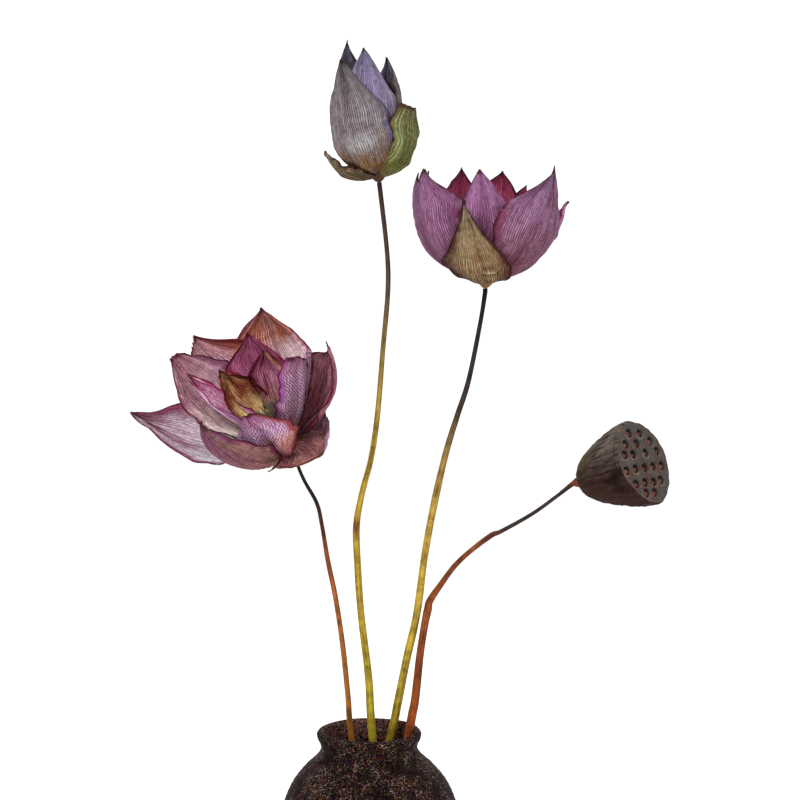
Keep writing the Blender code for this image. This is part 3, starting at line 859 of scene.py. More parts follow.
SAND = PetalFinish(
    outside=(0x8A5A40, 0x8A6A68, 0x8E6260, 0x6A3A38), inside=(0xA48A90, 0xA0868E, 0x96727E, 0x845450),
    left=(0x70281A, 0.42), right=(0x9A6A70, 0.1), wash=(0x9E747E, 0.4), stain_and_dent_shade=(0x8A5040, 0.3),
    rib=(0xBCA2AC, 0.3), vein=(0x7A4448, 0.5), hem=0x4A141C, light=0.78,
)
ROSE_BEIGE = PetalFinish(
    outside=(0x8A5A40, 0x8A5A62, 0x8A5A62, 0x6A3A38), inside=(0xBEB898, 0xD2CCBC, 0x946C76, 0x743C40),
    left=(0x7E4866, 0.3), right=(0x6E3A48, 0.12), wash=(0xAE9296, 0.4), stain_and_dent_shade=(0x8A5068, 0.25),
    rib=(0xB698A8, 0.3), vein=(0x84346A, 0.5), hem=0x4A1420, light=0.88,
)
LILAC = PetalFinish(
    outside=(0x8A5A40, 0x8A5A68, 0x8E5E70, 0x6A3A40), inside=(0xA8967E, 0xD2D6DA, 0x783A54, 0x4C1E18),
    left=(0x6E3050, 0.36), right=(0x744068, 0.15), wash=(0xC8C6CC, 0.35), stain_and_dent_shade=(0x86506C, 0.22),
    rib=(0xC8BCC8, 0.35), vein=(0x80487A, 0.4), hem=0x4A1420, light=0.83,
)
PLUM = PetalFinish(
    outside=(0x8A4A30, 0x6E3640, 0x6E384A, 0x6A4640), inside=(0x7A3A28, 0x702830, 0x703A48, 0x5A2024),
    left=(0x4A1A1E, 0.16), right=(0x54101A, 0.2), wash=(0x845060, 0.5), stain_and_dent_shade=(0x5A1218, 0.35),
    rib=(0x9C6A78, 0.5), vein=(0x4A0E1C, 0.6), hem=0x30060E, light=0.78,
)
MAGENTA = PetalFinish(
    outside=(0xA890A4, 0xB6A4B8, 0xB6A2B6, 0x7A3A58), inside=(0x8A5A40, 0x8A4A64, 0x84405C, 0x5C1428),
    left=(0x6A1430, 0.2), right=(0x661028, 0.22), wash=(0x945078, 0.5), stain_and_dent_shade=(0x601028, 0.35),
    rib=(0xA66A8C, 0.45), vein=(0x5E1030, 0.6), hem=0x3A0414, light=0.98,
)
ROLLED = PetalFinish(
    outside=(0x9A7A74, 0x9C788E, 0xA682A4, 0x641028), inside=(0x8A6A58, 0x946C80, 0x86526C, 0x5A1024),
    left=(0x64183C, 0.16), right=(0x7A4870, 0.18), wash=(0xA27C98, 0.4), stain_and_dent_shade=(0x7C3460, 0.15),
    rib=(0xC0A0C0, 0.5), vein=(0x7A4070, 0.5), hem=0x30040E, light=0.46,
)
GOLDEN = PetalFinish(
    outside=(0x8E6C34, 0x8A5C3A, 0x702E20, 0x500C0E), inside=(0xA6843C, 0xBCAC78, 0x4A0E06, 0x240202),
    left=(0x420806, 0.4), right=(0x500C0E, 0.2), wash=(0x9C7650, 0.35), stain_and_dent_shade=(0x6A200C, 0.35),
    rib=(0xB08C60, 0.18), vein=(0x64280E, 0.5), hem=0x2C0406, light=0.62,
)
EMBER = PetalFinish(
    outside=(0x8E6C34, 0x8A5C3A, 0x702438, 0x500C22), inside=(0xAA8030, 0x9A6C50, 0x844A66, 0x5C0C24),
    left=(0x8A5C2C, 0.3), right=(0x6A1430, 0.35), wash=(0x946C80, 0.45), stain_and_dent_shade=(0x5C1018, 0.35),
    rib=(0xA27A84, 0.35), vein=(0x501018, 0.6), hem=0x34040E, light=0.95,
)
FEATHERED = PetalFinish(
    outside=(0xA86034, 0x8E626E, 0x805276, 0x702A4E), inside=(0x8A5A40, 0x7E4458, 0x743850, 0x561A30),
    left=(0x7C3478, 0.16), right=(0x702448, 0.14), wash=(0x8A5E7A, 0.35), stain_and_dent_shade=(0x945268, 0.2),
    rib=(0xAC8CA6, 0.45), vein=(0x5E2A4E, 0.6), hem=0x420818, feather=0.5,
)
FEATHERED_FRONT = replace(
    FEATHERED, outside=(0x9E440E, 0x9A5C3E, 0x8A6284, 0x7E3A5E), stops=(0.34, 0.48, 0.7, 0.96),
    left=(0x7A3476, 0.14), right=(0x702A28, 0.19), wash=(0x966C86, 0.35), stain_and_dent_shade=(0xA05A6C, 0.2),
    rib=(0xA886A4, 0.38), feather=0.42, light=0.8,
)
RUSSET = PetalFinish(
    outside=(0xA0623A, 0x845248, 0x7C4A5A, 0x66305A), inside=(0x94602E, 0x704040, 0x6A3644, 0x62304A),
    left=(0x742450, 0.14), right=(0x6A2648, 0.12), wash=(0x8A6C4C, 0.45), stain_and_dent_shade=(0x7A4838, 0.35),
    rib=(0x9E7C80, 0.45), vein=(0x5E2234, 0.7), hem=0x3C0A1A, light=1.2,
)
AUTUMN = PetalFinish(
    outside=(0x9A4A20, 0x8C5A48, 0x80504C, 0x7A4A38), inside=(0x7E3C20, 0x6E3C48, 0x7E4C48, 0x7A4E3C),
    left=(0x5E2C2A, 0.13), right=(0xA884A0, 0.3), wash=(0x94686E, 0.45), stain_and_dent_shade=(0x94481A, 0.25),
    rib=(0xA27E70, 0.5), vein=(0x4A1A1E, 0.7), hem=0x3A0E10, light=0.85,
)


# ---- petals ----


@dataclass(frozen=True)
class Dent:
    """A crease, a bulge or a few short folds pressed into a petal.

    Attributes:
        u: Its middle, from root to tip.
        v: Its middle, from the left edge to the right.
        size: Its reach across the fold and along it, as shares of the petal's length.
        height: Of its crest above the outer face in metres, or of its trough below zero.
        turn: Angle of the fold from straight across the petal, in degrees.
        waves: Folds side by side, zero for a single one.
        BREADTH: Half a usual petal's width as a share of its length.
    """

    u: float
    v: float
    size: tuple[float, float]
    height: float
    turn: float = 0.0
    waves: float = 0.0

    BREADTH = 0.32

    def shape(self, u: Array, v: Array) -> Array:
        """A bell curve over the turned ellipse, times a cosine of the distance across it.

        Args:
            u: Positions from root to tip.
            v: Positions from the left edge to the right.

        Returns:
            Its share of the height there.
        """
        cosine, sine = math.cos(math.radians(self.turn)), math.sin(math.radians(self.turn))
        du, dv = u - self.u, self.BREADTH * (v - self.v)
        across = (du * cosine + dv * sine) / self.size[0]
        along = (dv * cosine - du * sine) / self.size[1]
        return np.exp(-(across**2) - along**2) * np.cos(math.pi * self.waves * across)


@dataclass(frozen=True)
class Petal:
    """One petal or sepal, in metres and degrees.

    Attributes:
        heading: Turn about the bloom's axis from its right-hand side.
        opening: Angle between petal and axis at the root, at mid-length and at the tip.
        length: Along the midrib.
        width: Across the belly.
        cup: How far the left and right halves turn inwards.
        sway: Sideways drift of the tip.
        seat: Radius and height of the root.
        belly: Where the petal is widest, from root to tip.
        point: How sharply it closes above the belly.
        tip_curl: Further opening at the very tip.
        look: Its finish.
        end: Share of the width that is left at the tip.
        left: Multiplies the left half of the outline, from root to tip.
        right: The same for the right half.
        crest: By what share the petal's end lies further out than its length, from left edge to right.
        roll: How far the left and right edges roll inwards, or outwards below zero.
        crumple: Height of its folds and wrinkles.
        dents: Creases and bulges at places of their own.
        ROOT_WIDTH: Width at the root.
        TIP_WIDTH: Least width.
        THICKNESS: Of the blade's middle.
        RUFFLE: Height of the long waves of the edges.
        FRILL: Height of their short ones.
        UNEVEN: Share of the width by which the outline wanders.
        NIBBLED: Share of the width of its small bites.
        TORN: Share of the length by which the end is ragged.
        ROLL_START: Where the rolled edge begins, as a share of half the width.
        MARK: Height of a dent whose painted highlight on a crest, and painted shade in a trough below zero,
            show in full.
    """

    heading: float
    opening: tuple[float, float, float]
    length: float
    width: float
    cup: tuple[float, float] = (45, 45)
    sway: float = 0.0
    seat: tuple[float, float] = (0.0055, 0.01)
    belly: float = 0.55
    point: float = 0.35
    tip_curl: float = 0.0
    look: PetalFinish = PINK
    end: float = 0.0
    left: tuple[float, ...] = (1.0, 1.0)
    right: tuple[float, ...] = (1.0, 1.0)
    crest: tuple[float, ...] = (0.0, 0.0)
    roll: tuple[float, float] = (0.0, 0.0)
    crumple: float = 0.0018
    dents: tuple[Dent, ...] = ()

    ROOT_WIDTH = 0.01
    TIP_WIDTH = 0.0012
    THICKNESS = 0.0005
    RUFFLE, FRILL = 0.0022, 0.002
    UNEVEN, NIBBLED, TORN = 0.04, 0.014, 0.008
    ROLL_START = 0.68
    MARK = 0.0016
    ROWS, COLUMNS = 64, 84

    def half_width(self, u: Array, v: Array) -> Array:
        """Half the width: a sine power from the claw to the belly, then (1 - c^2)(1 - p c^2) towards the tip.

        The left and right halves are then multiplied by their own curves.

        Args:
            u: Positions from root to tip.
            v: Positions from the left edge to the right.

        Returns:
            Half the width there.
        """
        claw = self.ROOT_WIDTH / self.width
        swell = claw + (1.0 - claw) * np.sin(0.5 * math.pi * np.clip(u / self.belly, 0.0, 1.0)) ** 0.85
        closing = np.clip((u - self.belly) / (1.0 - self.belly), 0.0, 1.0)
        arch = self.end + (1.0 - self.end) * (1.0 - closing**2) * (1.0 - self.point * closing**2)
        width = np.maximum(0.5 * self.width * np.where(u < self.belly, swell, arch), 0.5 * self.TIP_WIDTH)
        return width * np.where(v < 0.0, profile(u, self.left), profile(u, self.right))

    def opening_angle(self, u: Array) -> Array:
        """A quadratic curve by the three opening angles, with the tip's curl added.

        Args:
            u: Positions from root to tip.

        Returns:
            The angles between petal and axis there, in radians.
        """
        root, middle, tip = self.opening
        bend = (1 - u) ** 2 * root + 2 * u * (1 - u) * middle + u**2 * tip
        return np.radians(bend + self.tip_curl * np.clip((u - 0.8) / 0.2, 0.0, 1.0) ** 2)

    def section(self, v: Array, width: Array, bell: Array) -> tuple[Array, Array]:
        """Follow the petal across: its direction turns by the cup angle, and near the edges by the roll too.

        Args:
            v: Positions from the left edge to the right.
            width: Half the width there.
            bell: 0 at the root and the tip, 1 between them.

        Returns:
            How far each point lies sideways, and how far inwards.
        """
        left = v < 0.0
        turn = np.radians(np.where(left, self.cup[0], self.cup[1])) * v
        edge = np.clip((np.abs(v) - self.ROLL_START) / (1.0 - self.ROLL_START), 0.0, 1.0) ** 1.3
        turn = turn + np.sign(v) * np.radians(np.where(left, self.roll[0], self.roll[1])) * edge * bell
        steps = np.diff(v[:1])
        centre = 0.5 * (turn[:, 1:] + turn[:, :-1])
        start = np.zeros((len(v), 1))
        run = [np.hstack([start, np.cumsum(f(centre) * steps, 1)]) for f in (np.cos, np.sin)]
        middle = v.shape[1] // 2
        run = [r - 0.5 * (r[:, middle - 1:middle] + r[:, middle:middle + 1]) for r in run]
        return run[0] * width, run[1] * width

    def surface(self, phase: float, draw: np.random.Generator) -> tuple[Array, Array, dict[str, Array]]:
        """Work out the petal's middle surface in its bloom's frame.

        The midrib runs out and up by the opening angle. Across it lies the section, as wide as the outline,
        with waves that grow towards the edges. Folds, wrinkles, ribs and dents then move each point along the
        surface's normal.

        Args:
            phase: Where the edges' waves start.
            draw: The random numbers of the folds.

        Returns:
            Points, normals that face inwards, and the numbers that the points carry, each on the grid.
        """
        rows = np.linspace(0.0, 1.0, self.ROWS) ** 0.95
        spread = 0.48 * math.pi
        columns = np.sin(spread * np.linspace(-1.0, 1.0, self.COLUMNS)) / math.sin(spread)
        u, v = np.meshgrid(rows, columns, indexing="ij")
        fine = np.linspace(0.0, 1.2, 145)
        angle = self.opening_angle(fine)
        step = self.length * fine[1]
        out, up = (running_sum(0.5 * (f(angle)[1:] + f(angle)[:-1]) * step) for f in (np.sin, np.cos))
        ragged = ripples(0.0 * u, v, draw, 5, (0.0, 0.1), (0.8, 4.0)) * ease(u, 0.6, 1.0)
        far = u + u**5 * (profile(0.5 + 0.5 * v, self.crest) + self.TORN * ragged)
        radius = self.seat[0] + np.interp(far, fine, out)
        height = self.seat[1] + np.interp(far, fine, up)
        lean = np.interp(far, fine, angle)
        bell = np.sin(math.pi * np.clip(0.04 + 0.92 * u, 0.0, 1.0)) ** 0.5
        uneven = ripples(u, 0.37 * np.sign(v), draw, 5, (1.5, 6.0), (0.3, 1.0))
        nibbled = ripples(u, 0.37 * np.sign(v), draw, 7, (8.0, 20.0), (0.3, 1.0))
        width = self.half_width(u, v) * (1.0 + bell * (self.UNEVEN * uneven + self.NIBBLED * nibbled))
        across, inward = self.section(v, width, bell)
        reach = np.abs(v)
        inward += self.RUFFLE * reach**2.5 * np.sin(TAU * (1.7 * u + 0.31 * np.sign(v)) + phase) * bell
        frill = ripples(u, 0.5 * np.sign(v), draw, 5, (3.0, 7.0), (0.3, 1.0))
        inward += self.FRILL * reach**4 * frill * bell
        across += self.sway * far**2
        heading = math.radians(self.heading)
        ahead = np.array((math.cos(heading), math.sin(heading), 0.0))
        aside = np.array((-math.sin(heading), math.cos(heading), 0.0))
        axis = np.array((0.0, 0.0, 1.0))
        facing = -np.cos(lean)[..., None] * ahead + np.sin(lean)[..., None] * axis
        points = radius[..., None] * ahead + height[..., None] * axis
        points = points + across[..., None] * aside + inward[..., None] * facing
        fading = ease(u, 0.02, 0.22) * (1.0 - 0.75 * ease(u, 0.88, 1.0) * (1.0 - self.end))
        relief = self.folds(u, v, draw) * fading
        normals = self.normals(points)
        # The signed strength of the dents goes to the finish, which paints a highlight on crests and shade in
        # troughs.
        pressed, dent_light_and_shade = np.zeros_like(u), np.zeros_like(u)
        for dent in self.dents:
            shape = dent.shape(u, v)
            pressed += dent.height * shape
            dent_light_and_shade += max(-1.0, min(1.0, dent.height / self.MARK)) * shape
        points = points + (self.crumple * relief - pressed)[..., None] * normals
        return points, self.normals(points), {"along": u, "across": v, "relief": relief, "dent": dent_light_and_shade}

    def folds(self, u: Array, v: Array, draw: np.random.Generator) -> Array:
        """Add lengthwise folds, sharp creases, cross wrinkles and ribs.

        Args:
            u: Positions from root to tip.
            v: Positions from the left edge to the right.
            draw: The random numbers.

        Returns:
            The relief as a share of the crumple height.
        """
        folds = ripples(u, v, draw, 5, (0.1, 0.7), (0.7, 2.0))
        crease = 0.5 - np.abs(ripples(u, v, draw, 4, (0.2, 1.0), (1.2, 3.2))) ** 0.7
        patch = ease(ripples(u, v, draw, 4, (0.5, 1.5), (0.4, 1.2)), -0.2, 0.7)
        wrinkles = (0.4 - np.abs(ripples(u, v, draw, 6, (4.0, 9.0), (0.2, 2.5)))) * patch
        drift = 0.1 * ripples(u, v, draw, 3, (0.4, 1.0), (0.2, 0.8))
        ribs = np.cos(math.pi * 15.0 * (v + drift)) * (1.0 - v**4)
        return 0.75 * folds + 0.55 * crease + 0.4 * wrinkles + 0.11 * ribs

    @staticmethod
    def normals(points: Array) -> Array:
        """Unit normals of a grid of points, as the cross product of its two gradients."""
        normal = np.cross(np.gradient(points, axis=0), np.gradient(points, axis=1))
        return normal / np.maximum(np.linalg.norm(normal, axis=2, keepdims=True), 1e-12)

    def build(self, name: str, phase: float, where: AxisFrame) -> bpy.types.Object:
        """Build the petal as a thin closed blade, thinner at its edges.

        Args:
            name: The piece's name.
            phase: Where the edges' waves start.
            where: The bloom's frame.

        Returns:
            The piece.
        """
        draw = np.random.default_rng(int(1000 * phase) + int(self.heading))
        points, normals, carried = self.surface(phase, draw)
        shift = 0.5 * self.THICKNESS * (1.0 - 0.6 * np.abs(carried["across"]) ** 6)[..., None] * normals
        both = np.concatenate([(points + shift).reshape(-1, 3), (points - shift).reshape(-1, 3)])
        quads = grid_quads(self.ROWS, self.COLUMNS, False)
        count = self.ROWS * self.COLUMNS
        number = np.arange(count).reshape(self.ROWS, self.COLUMNS)
        rim = np.concatenate([number[0], number[1:, -1], number[-1, -2::-1], number[-2:0:-1, 0]])
        after = np.roll(rim, -1)
        wall = np.stack([rim, rim + count, after + count, after], 1)
        faces = [quads[:, ::-1], quads + count, wall[:, ::-1]]
        attributes = {key: np.tile(values.ravel(), 2) for key, values in carried.items()}
        attributes["inner"] = np.repeat((1.0, 0.0), count)
        finish = self.look.material(name, phase, self.width)
        return mesh_piece(name, where.world(both), faces, finish, attributes)


INNER_SEAT = (0.005, 0.0115)
OUTER_SEAT = (0.0065, 0.0085)
SEPAL_SEAT = (0.0045, 0.0035)
LOW_SEAT = (0.0085, 0.0)


@dataclass(frozen=True)
class FlowerHead:
    """A flower head: petals on their core, the calyx under them and the heart with its stamens.

    Attributes:
        name: What its nodes' names begin with.
        where: Its frame, at the stem's end.
        petals: The petals.
        outer_petals: Guard petals or sepals.
        outer_node: The node of those and of the calyx.
        petal_slot: Slot of the petals.
        outer_slot: Slot of what is outside them.
        calyx: Finish of the calyx.
        core: Finish of the core.
        heart_height: Height of the receptacle.
        heart_radius: Its radius.
        stamens: How many stamens stand round it.
        CALYX, CORE: Rows of radius and height.
        HEART: The same, as shares of the receptacle's radius and height.
        PETAL_PHASE: From one petal's waves to the next one's.
        FOOT: Height of the receptacle's foot.
        STAMEN_DRAW: Where the stamens' random numbers start, less their number.
    """

    name: str
    where: AxisFrame
    petals: tuple[Petal, ...]
    outer_petals: tuple[Petal, ...]
    outer_node: str
    petal_slot: Slot
    outer_slot: Slot
    calyx: GrainFinish
    core: GrainFinish
    heart_height: float
    heart_radius: float
    stamens: int

    CALYX = np.array(((0.0018, 0), (0.0032, 0.001), (0.0047, 0.0026), (0.0066, 0.0048), (0.0072, 0.0062)))
    CORE = np.array(((0.0062, 0.0064), (0.008, 0.0078), (0.0087, 0.01), (0.0084, 0.0128), (0.006, 0.015)))
    HEART = np.array(((0.35, 0), (0.6, 0.25), (0.92, 0.8), (1, 0.92), (0.85, 1), (0.3, 1.02)))
    SIDES = 56
    PETAL_PHASE = 1.3
    FOOT = 0.0153
    STAMEN_DRAW = 5
    STAMEN_LENGTHS = (0.02, 0.031)
    STALK_RADIUS, ANTHER_RADIUS = 0.0003, 0.00042

    def build(self) -> None:
        """Build every piece of the head and tie it to its node."""
        for index, petal in enumerate(self.petals):
            piece = petal.build(f"{self.name}_petal_{index + 1:02d}", self.PETAL_PHASE * index, self.where)
            place_piece(piece, self.petal_slot, f"{self.name}_petals")
        for index, petal in enumerate(self.outer_petals):
            phase = self.PETAL_PHASE * (index + 0.5)
            piece = petal.build(f"{self.outer_node}_{index + 1}", phase, self.where)
            place_piece(piece, self.outer_slot, self.outer_node)
        calyx = self.turned("calyx_cup", self.CALYX, self.calyx, 0.05)
        place_piece(calyx, self.outer_slot, self.outer_node)
        core = self.turned("core", self.CORE, self.core, 0.04)
        place_piece(core, self.petal_slot, f"{self.name}_petals")
        self.build_heart()

    def turned(self, part: str, wall: Array, finish: GrainFinish, ribbing: float) -> bpy.types.Object:
        """Turn a small part of the head, whose radius swells by a share of a cosine of 11 times the angle.

        Args:
            part: What it is.
            wall: Rows of radius and height.
            finish: Its finish.
            ribbing: Depth of the ribs as a share of the radius.

        Returns:
            The piece.
        """
        rows = smooth_path(wall, 24)
        angle = round_angles(self.SIDES)
        swell = 1.0 + ribbing * np.cos(11.0 * angle + 0.8 * np.sin(3.0 * angle))
        flat, faces = closed_rings(turned_grid(rows[:, :1] * swell, rows[:, 1], self.SIDES))
        name = f"{self.name}_{part}"
        far = {"far": np.zeros(len(flat))}
        return mesh_piece(name, self.where.world(flat), faces, finish.material(name), far)

    def build_heart(self) -> None:
        """Build the receptacle and the ring of stamens round it, and tie both to the heart's node."""
        rows = self.HEART * (self.heart_radius, self.heart_height) + (0.0, self.FOOT)
        heart = self.turned("receptacle", rows, GrainFinish(0x5A4420, 0x2E2014, 0x4A3018), 0.03)
        place_piece(heart, Slot.GOLD, f"{self.name}_heart")
        if self.stamens:
            place_piece(self.stamen_ring(), Slot.GOLD, f"{self.name}_heart")

    def stamen_ring(self) -> bpy.types.Object:
        """Build the stamens: tubes along arcs that rise and lean outwards, thicker along the anther.

        Returns:
            The piece.
        """
        draw = np.random.default_rng(self.STAMEN_DRAW + self.stamens)
        count, rings, sides = self.stamens, 12, 5
        t = np.linspace(0.0, 1.0, rings)[None, :, None]
        angle = (TAU * (np.arange(count) + draw.uniform(-0.4, 0.4, count)) / count)[:, None, None]
        length = draw.uniform(*self.STAMEN_LENGTHS, count)[:, None, None]
        lean = np.radians(draw.uniform(-4.0, 40.0, count))[:, None, None] * (0.6 + 0.8 * t)
        swing = draw.uniform(-0.35, 0.35, count)[:, None, None]
        out = 0.45 * self.heart_radius + length * t * np.sin(lean)
        up = self.FOOT + 0.15 * self.heart_height + length * t * np.cos(lean)
        turn = angle + swing * t**2
        spine = np.concatenate([out * np.cos(turn), out * np.sin(turn), up], 2)
        thick = self.STALK_RADIUS + self.ANTHER_RADIUS * np.exp(-(((t - 0.8) / 0.14) ** 2))
        thick = thick - 0.0002 * ease(t, 0.95, 1.0)
        level = np.zeros_like(turn)
        ahead = np.concatenate([np.cos(turn), np.sin(turn), level], 2)[:, :, None]
        aside = np.concatenate([-np.sin(turn), np.cos(turn), level], 2)[:, :, None]
        side = round_angles(sides)[:, None]
        tubes = spine[:, :, None] + thick[:, :, None] * (np.cos(side) * ahead + np.sin(side) * aside)
        caps = [np.arange(sides)[None, ::-1], (rings - 1) * sides + np.arange(sides)[None]]
        faces = copied_faces([grid_quads(rings, sides, True), *caps], count, rings * sides)
        far = np.tile(np.repeat(t.ravel(), sides), count)
        name = f"{self.name}_stamens"
        finish = GrainFinish(0xB09A68, 0x7A6448, 0x645648)
        return mesh_piece(name, self.where.world(tubes), faces, finish.material(name), {"far": far})


OPEN_BLOOM = FlowerHead(
    name="open_bloom", where=AxisFrame((-0.0625, -0.03, 0.4095), (-0.45, -0.4, 0.8)),
    petals=(
        Petal(
            78, (55, 42, 22), 0.115, 0.074, (35, 35), look=BEIGE, right=(1, 1, 1, 1.05, 1.9, 1.3),
            left=(1, 1, 1, 0.96, 0.9, 1), roll=(-70, -20), crumple=0.0026,
            dents=(
                Dent(0.79, 0.1, (0.05, 0.16), -0.001, 12, 1.6), Dent(0.6, -0.5, (0.12, 0.12), 0.0012),
                Dent(0.68, 0.4, (0.02, 0.2), -0.0012, 75),
            ),
        ),
        Petal(
            126, (60, 37, 12), 0.128, 0.054, (35, 35), seat=OUTER_SEAT, look=SAND, end=0.4,
            left=(1, 1.1, 1.3, 1.65, 1.35, 0.3), right=(1, 1, 1, 1, 0.85, 0.8),
            crest=(-0.03, -0.05, -0.08, -0.12), crumple=0.0026,
        ),
        Petal(
            146, (50, 37, 18), 0.119, 0.074, (35, 42), look=ROSE_BEIGE, end=0.28,
            crest=(-0.06, -0.02, -0.02, -0.06), left=(1, 1, 1, 0.88, 0.85, 0.9),
            right=(1.2, 1.35, 1.35, 1.2, 1.25, 1.1), crumple=0.0026,
        ),
        Petal(
            176, (84, 52, 26), 0.133, 0.071, (35, 22), -0.008, OUTER_SEAT, look=LILAC,
            left=(1, 1, 1.1, 1.25, 1.45, 1.2), right=(1, 1.05, 1.05, 0.88, 0.75, 0.9), crumple=0.0026,
            dents=(Dent(0.62, -0.15, (0.02, 0.25), 0.0015, 82),),
        ),
        Petal(
            18, (80, 62, -5), 0.094, 0.076, (40, 14), seat=OUTER_SEAT, look=PLUM,
            left=(1, 1.25, 1.35, 1.3, 1.1, 1), right=(1, 1.25, 1.45, 1.65, 1.85, 1.2),
            crest=(-0.1, -0.03, -0.04, -0.16), roll=(-50, 0), crumple=0.0026,
            dents=(Dent(0.6, 0.1, (0.02, 0.2), 0.0016, 85), Dent(0.6, 0.3, (0.02, 0.2), -0.0016, 85)),
        ),
        Petal(
            85, (40, 28, 10), 0.093, 0.056, look=MAGENTA, right=(1, 0.8, 0.6, 0.66, 1.75, 1.3),
            left=(1, 1, 0.9, 0.8, 0.85, 1), roll=(-120, 0), crumple=0.0024,
        ),
        Petal(
            168, (46, 30, 8), 0.093, 0.031, (80, 80), look=ROLLED, end=0.3, crest=(0.04, -0.07, 0),
            tip_curl=25, left=(1, 1.1, 1.1, 1, 1, 1.1), right=(1, 1.1, 1.2, 1.1, 1, 0.9),
        ),
        Petal(
            137, (36, 29, 15), 0.077, 0.041, (62, 50), seat=INNER_SEAT, look=GOLDEN, end=0.2,
            left=(1, 1, 0.95, 0.9, 1.1, 1.2), crest=(-0.12, 0, -0.03, -0.06), crumple=0.0026,
            dents=(Dent(0.65, 0.1, (0.04, 0.22), 0.0025, 75),),
        ),
        Petal(
            74, (36, 30, 15), 0.076, 0.035, (50, 50), seat=INNER_SEAT, look=EMBER,
            crest=(-0.03, -0.04, -0.03), right=(1, 1, 1, 1.1, 1.5, 1.2), left=(1, 1.1, 1.2, 1.2, 1.1, 1),
            roll=(0, 60), crumple=0.0022,
            dents=(Dent(0.6, 0.1, (0.03, 0.18), 0.0014, 80), Dent(0.62, 0.4, (0.03, 0.18), -0.0014, 80)),
        ),
        Petal(
            346, (50, 41, 8), 0.089, 0.069, (62, 22), seat=INNER_SEAT, belly=0.65, point=0.0,
            look=FEATHERED, end=0.3, right=(1, 1.2, 1.3, 1.4, 1.5, 1.6), left=(1, 1, 1, 0.92, 0.98, 1.2),
            crest=(-0.03, -0.07, -0.16, -0.35),
        ),
        Petal(
            256, (62, 26, -22), 0.07, 0.06, (40, 40), seat=(0.012, -0.002), point=0.1,
            look=FEATHERED_FRONT, end=0.15, right=(0.5, 0.7, 0.95, 1.15, 1.3, 1.2),
            left=(1.5, 1.2, 1, 1, 1, 1), crest=(-0.1, 0.02, 0.02, 0.03),
        ),
        Petal(
            232, (86, 39, -6), 0.099, 0.058, (72, 60), seat=LOW_SEAT, look=RUSSET, end=0.25, tip_curl=-22,
            left=(0.7, 1, 1.3, 1.35, 1.3, 1), right=(1, 1.1, 1.2, 1.3, 1.2, 1), crest=(0.08, 0.04, 0),
        ),
        Petal(
            308, (112, 100, 78), 0.046, 0.074, (30, 50), seat=OUTER_SEAT, point=0.1, look=AUTUMN,
            right=(2.4, 1.6, 1, 0.85, 0.8, 1), left=(0.7, 0.75, 0.95, 1.12, 1.08, 1), crumple=0.0026,
        ),
    ),
    outer_petals=(), outer_node="open_bloom_calyx", petal_slot=Slot.MAUVE, outer_slot=Slot.ORANGE,
    calyx=GrainFinish(0xA05A28, 0x6A3018, 0x4A2010), core=GrainFinish(0xA8702E, 0x8A5024, 0x4A2010),
    heart_height=0.021, heart_radius=0.012, stamens=110,
)
CUP_BLOOM = FlowerHead(
    name="cup_bloom", where=AxisFrame((0.0989, 0.01, 0.546), (0.05, -0.02, 1.0)),
    petals=(
        Petal(46, (62, 16, -4), 0.099, 0.056, look=PINK_BACK, tip_curl=40),
        Petal(
            129, (58, 8, -10), 0.109, 0.06, look=PINK_BACK, crest=(-0.01, -0.02, 0),
            right=(1, 1, 1, 1.1, 1.3, 1),
        ),
        Petal(
            71, (58, 4, -8), 0.11, 0.066, look=PINK_BACK, crest=(-0.03, -0.03),
            left=(1, 1, 1, 0.9, 0.8, 1), right=(1, 1, 1, 1.1, 1.35, 1),
        ),
        Petal(
            168, (82, 20, -13), 0.113, 0.06, seat=INNER_SEAT, look=PINK_BACK, right=(1, 1, 1, 1.1, 1.3, 1),
        ),
        Petal(10, (88, 26, 8), 0.102, 0.062, seat=OUTER_SEAT, tip_curl=28),
        Petal(
            266, (58, 8, -4), 0.094, 0.07, (50, 50), -0.009, INNER_SEAT, left=(1, 1, 0.9, 0.82, 0.78, 1),
            right=(1, 1, 0.9, 0.85, 0.8, 1), crumple=0.0016,
        ),
        Petal(
            206, (98, 25, -10), 0.12, 0.09, (50, 60), end=0.15, right=(1, 1, 1, 1.05, 1.45, 1),
            left=(1, 1, 0.84, 0.68, 0.92, 1.6), crest=(0.01, -0.01, -0.05, 0.02, 0), crumple=0.002,
            look=PINK_LEFT,
        ),
        Petal(
            317, (96, 12, -2), 0.121, 0.092, (55, 40), seat=OUTER_SEAT, look=PINK_RIGHT, belly=0.5,
            point=0.45, left=(1, 1, 1, 1.05, 1.25, 1), right=(1, 0.94, 0.76, 0.72, 0.75, 1),
            crest=(0, 0.03, 0.02),
            dents=(Dent(0.66, 0.45, (0.03, 0.05), -0.0016, 25), Dent(0.4, 0.3, (0.03, 0.13), -0.0014, 20)),
        ),
    ),
    outer_petals=(
        Petal(
            260, (104, 31, 2), 0.1, 0.054, (36, 36), -0.014, SEPAL_SEAT, 0.38, 0.75, look=TAN,
            crumple=0.002, left=(1.3, 1.2, 1.25, 1, 0.95, 1), right=(1.3, 1.1, 1, 0.95, 1, 1),
            roll=(-35, -35),
            dents=(
                Dent(0.36, 0.35, (0.09, 0.09), 0.0014, waves=2.2), Dent(0.52, 0.1, (0.1, 0.2), -0.0006),
            ),
        ),
    ),
    outer_node="cup_bloom_guard_petal", petal_slot=Slot.PINK, outer_slot=Slot.TAN,
    calyx=GrainFinish(0x7A5228, 0x5A3A1E, 0x4A2010), core=GrainFinish(0x7A5A2E, 0x6A4824, 0x4A2010),
    heart_height=0.017, heart_radius=0.0105, stamens=60,
)
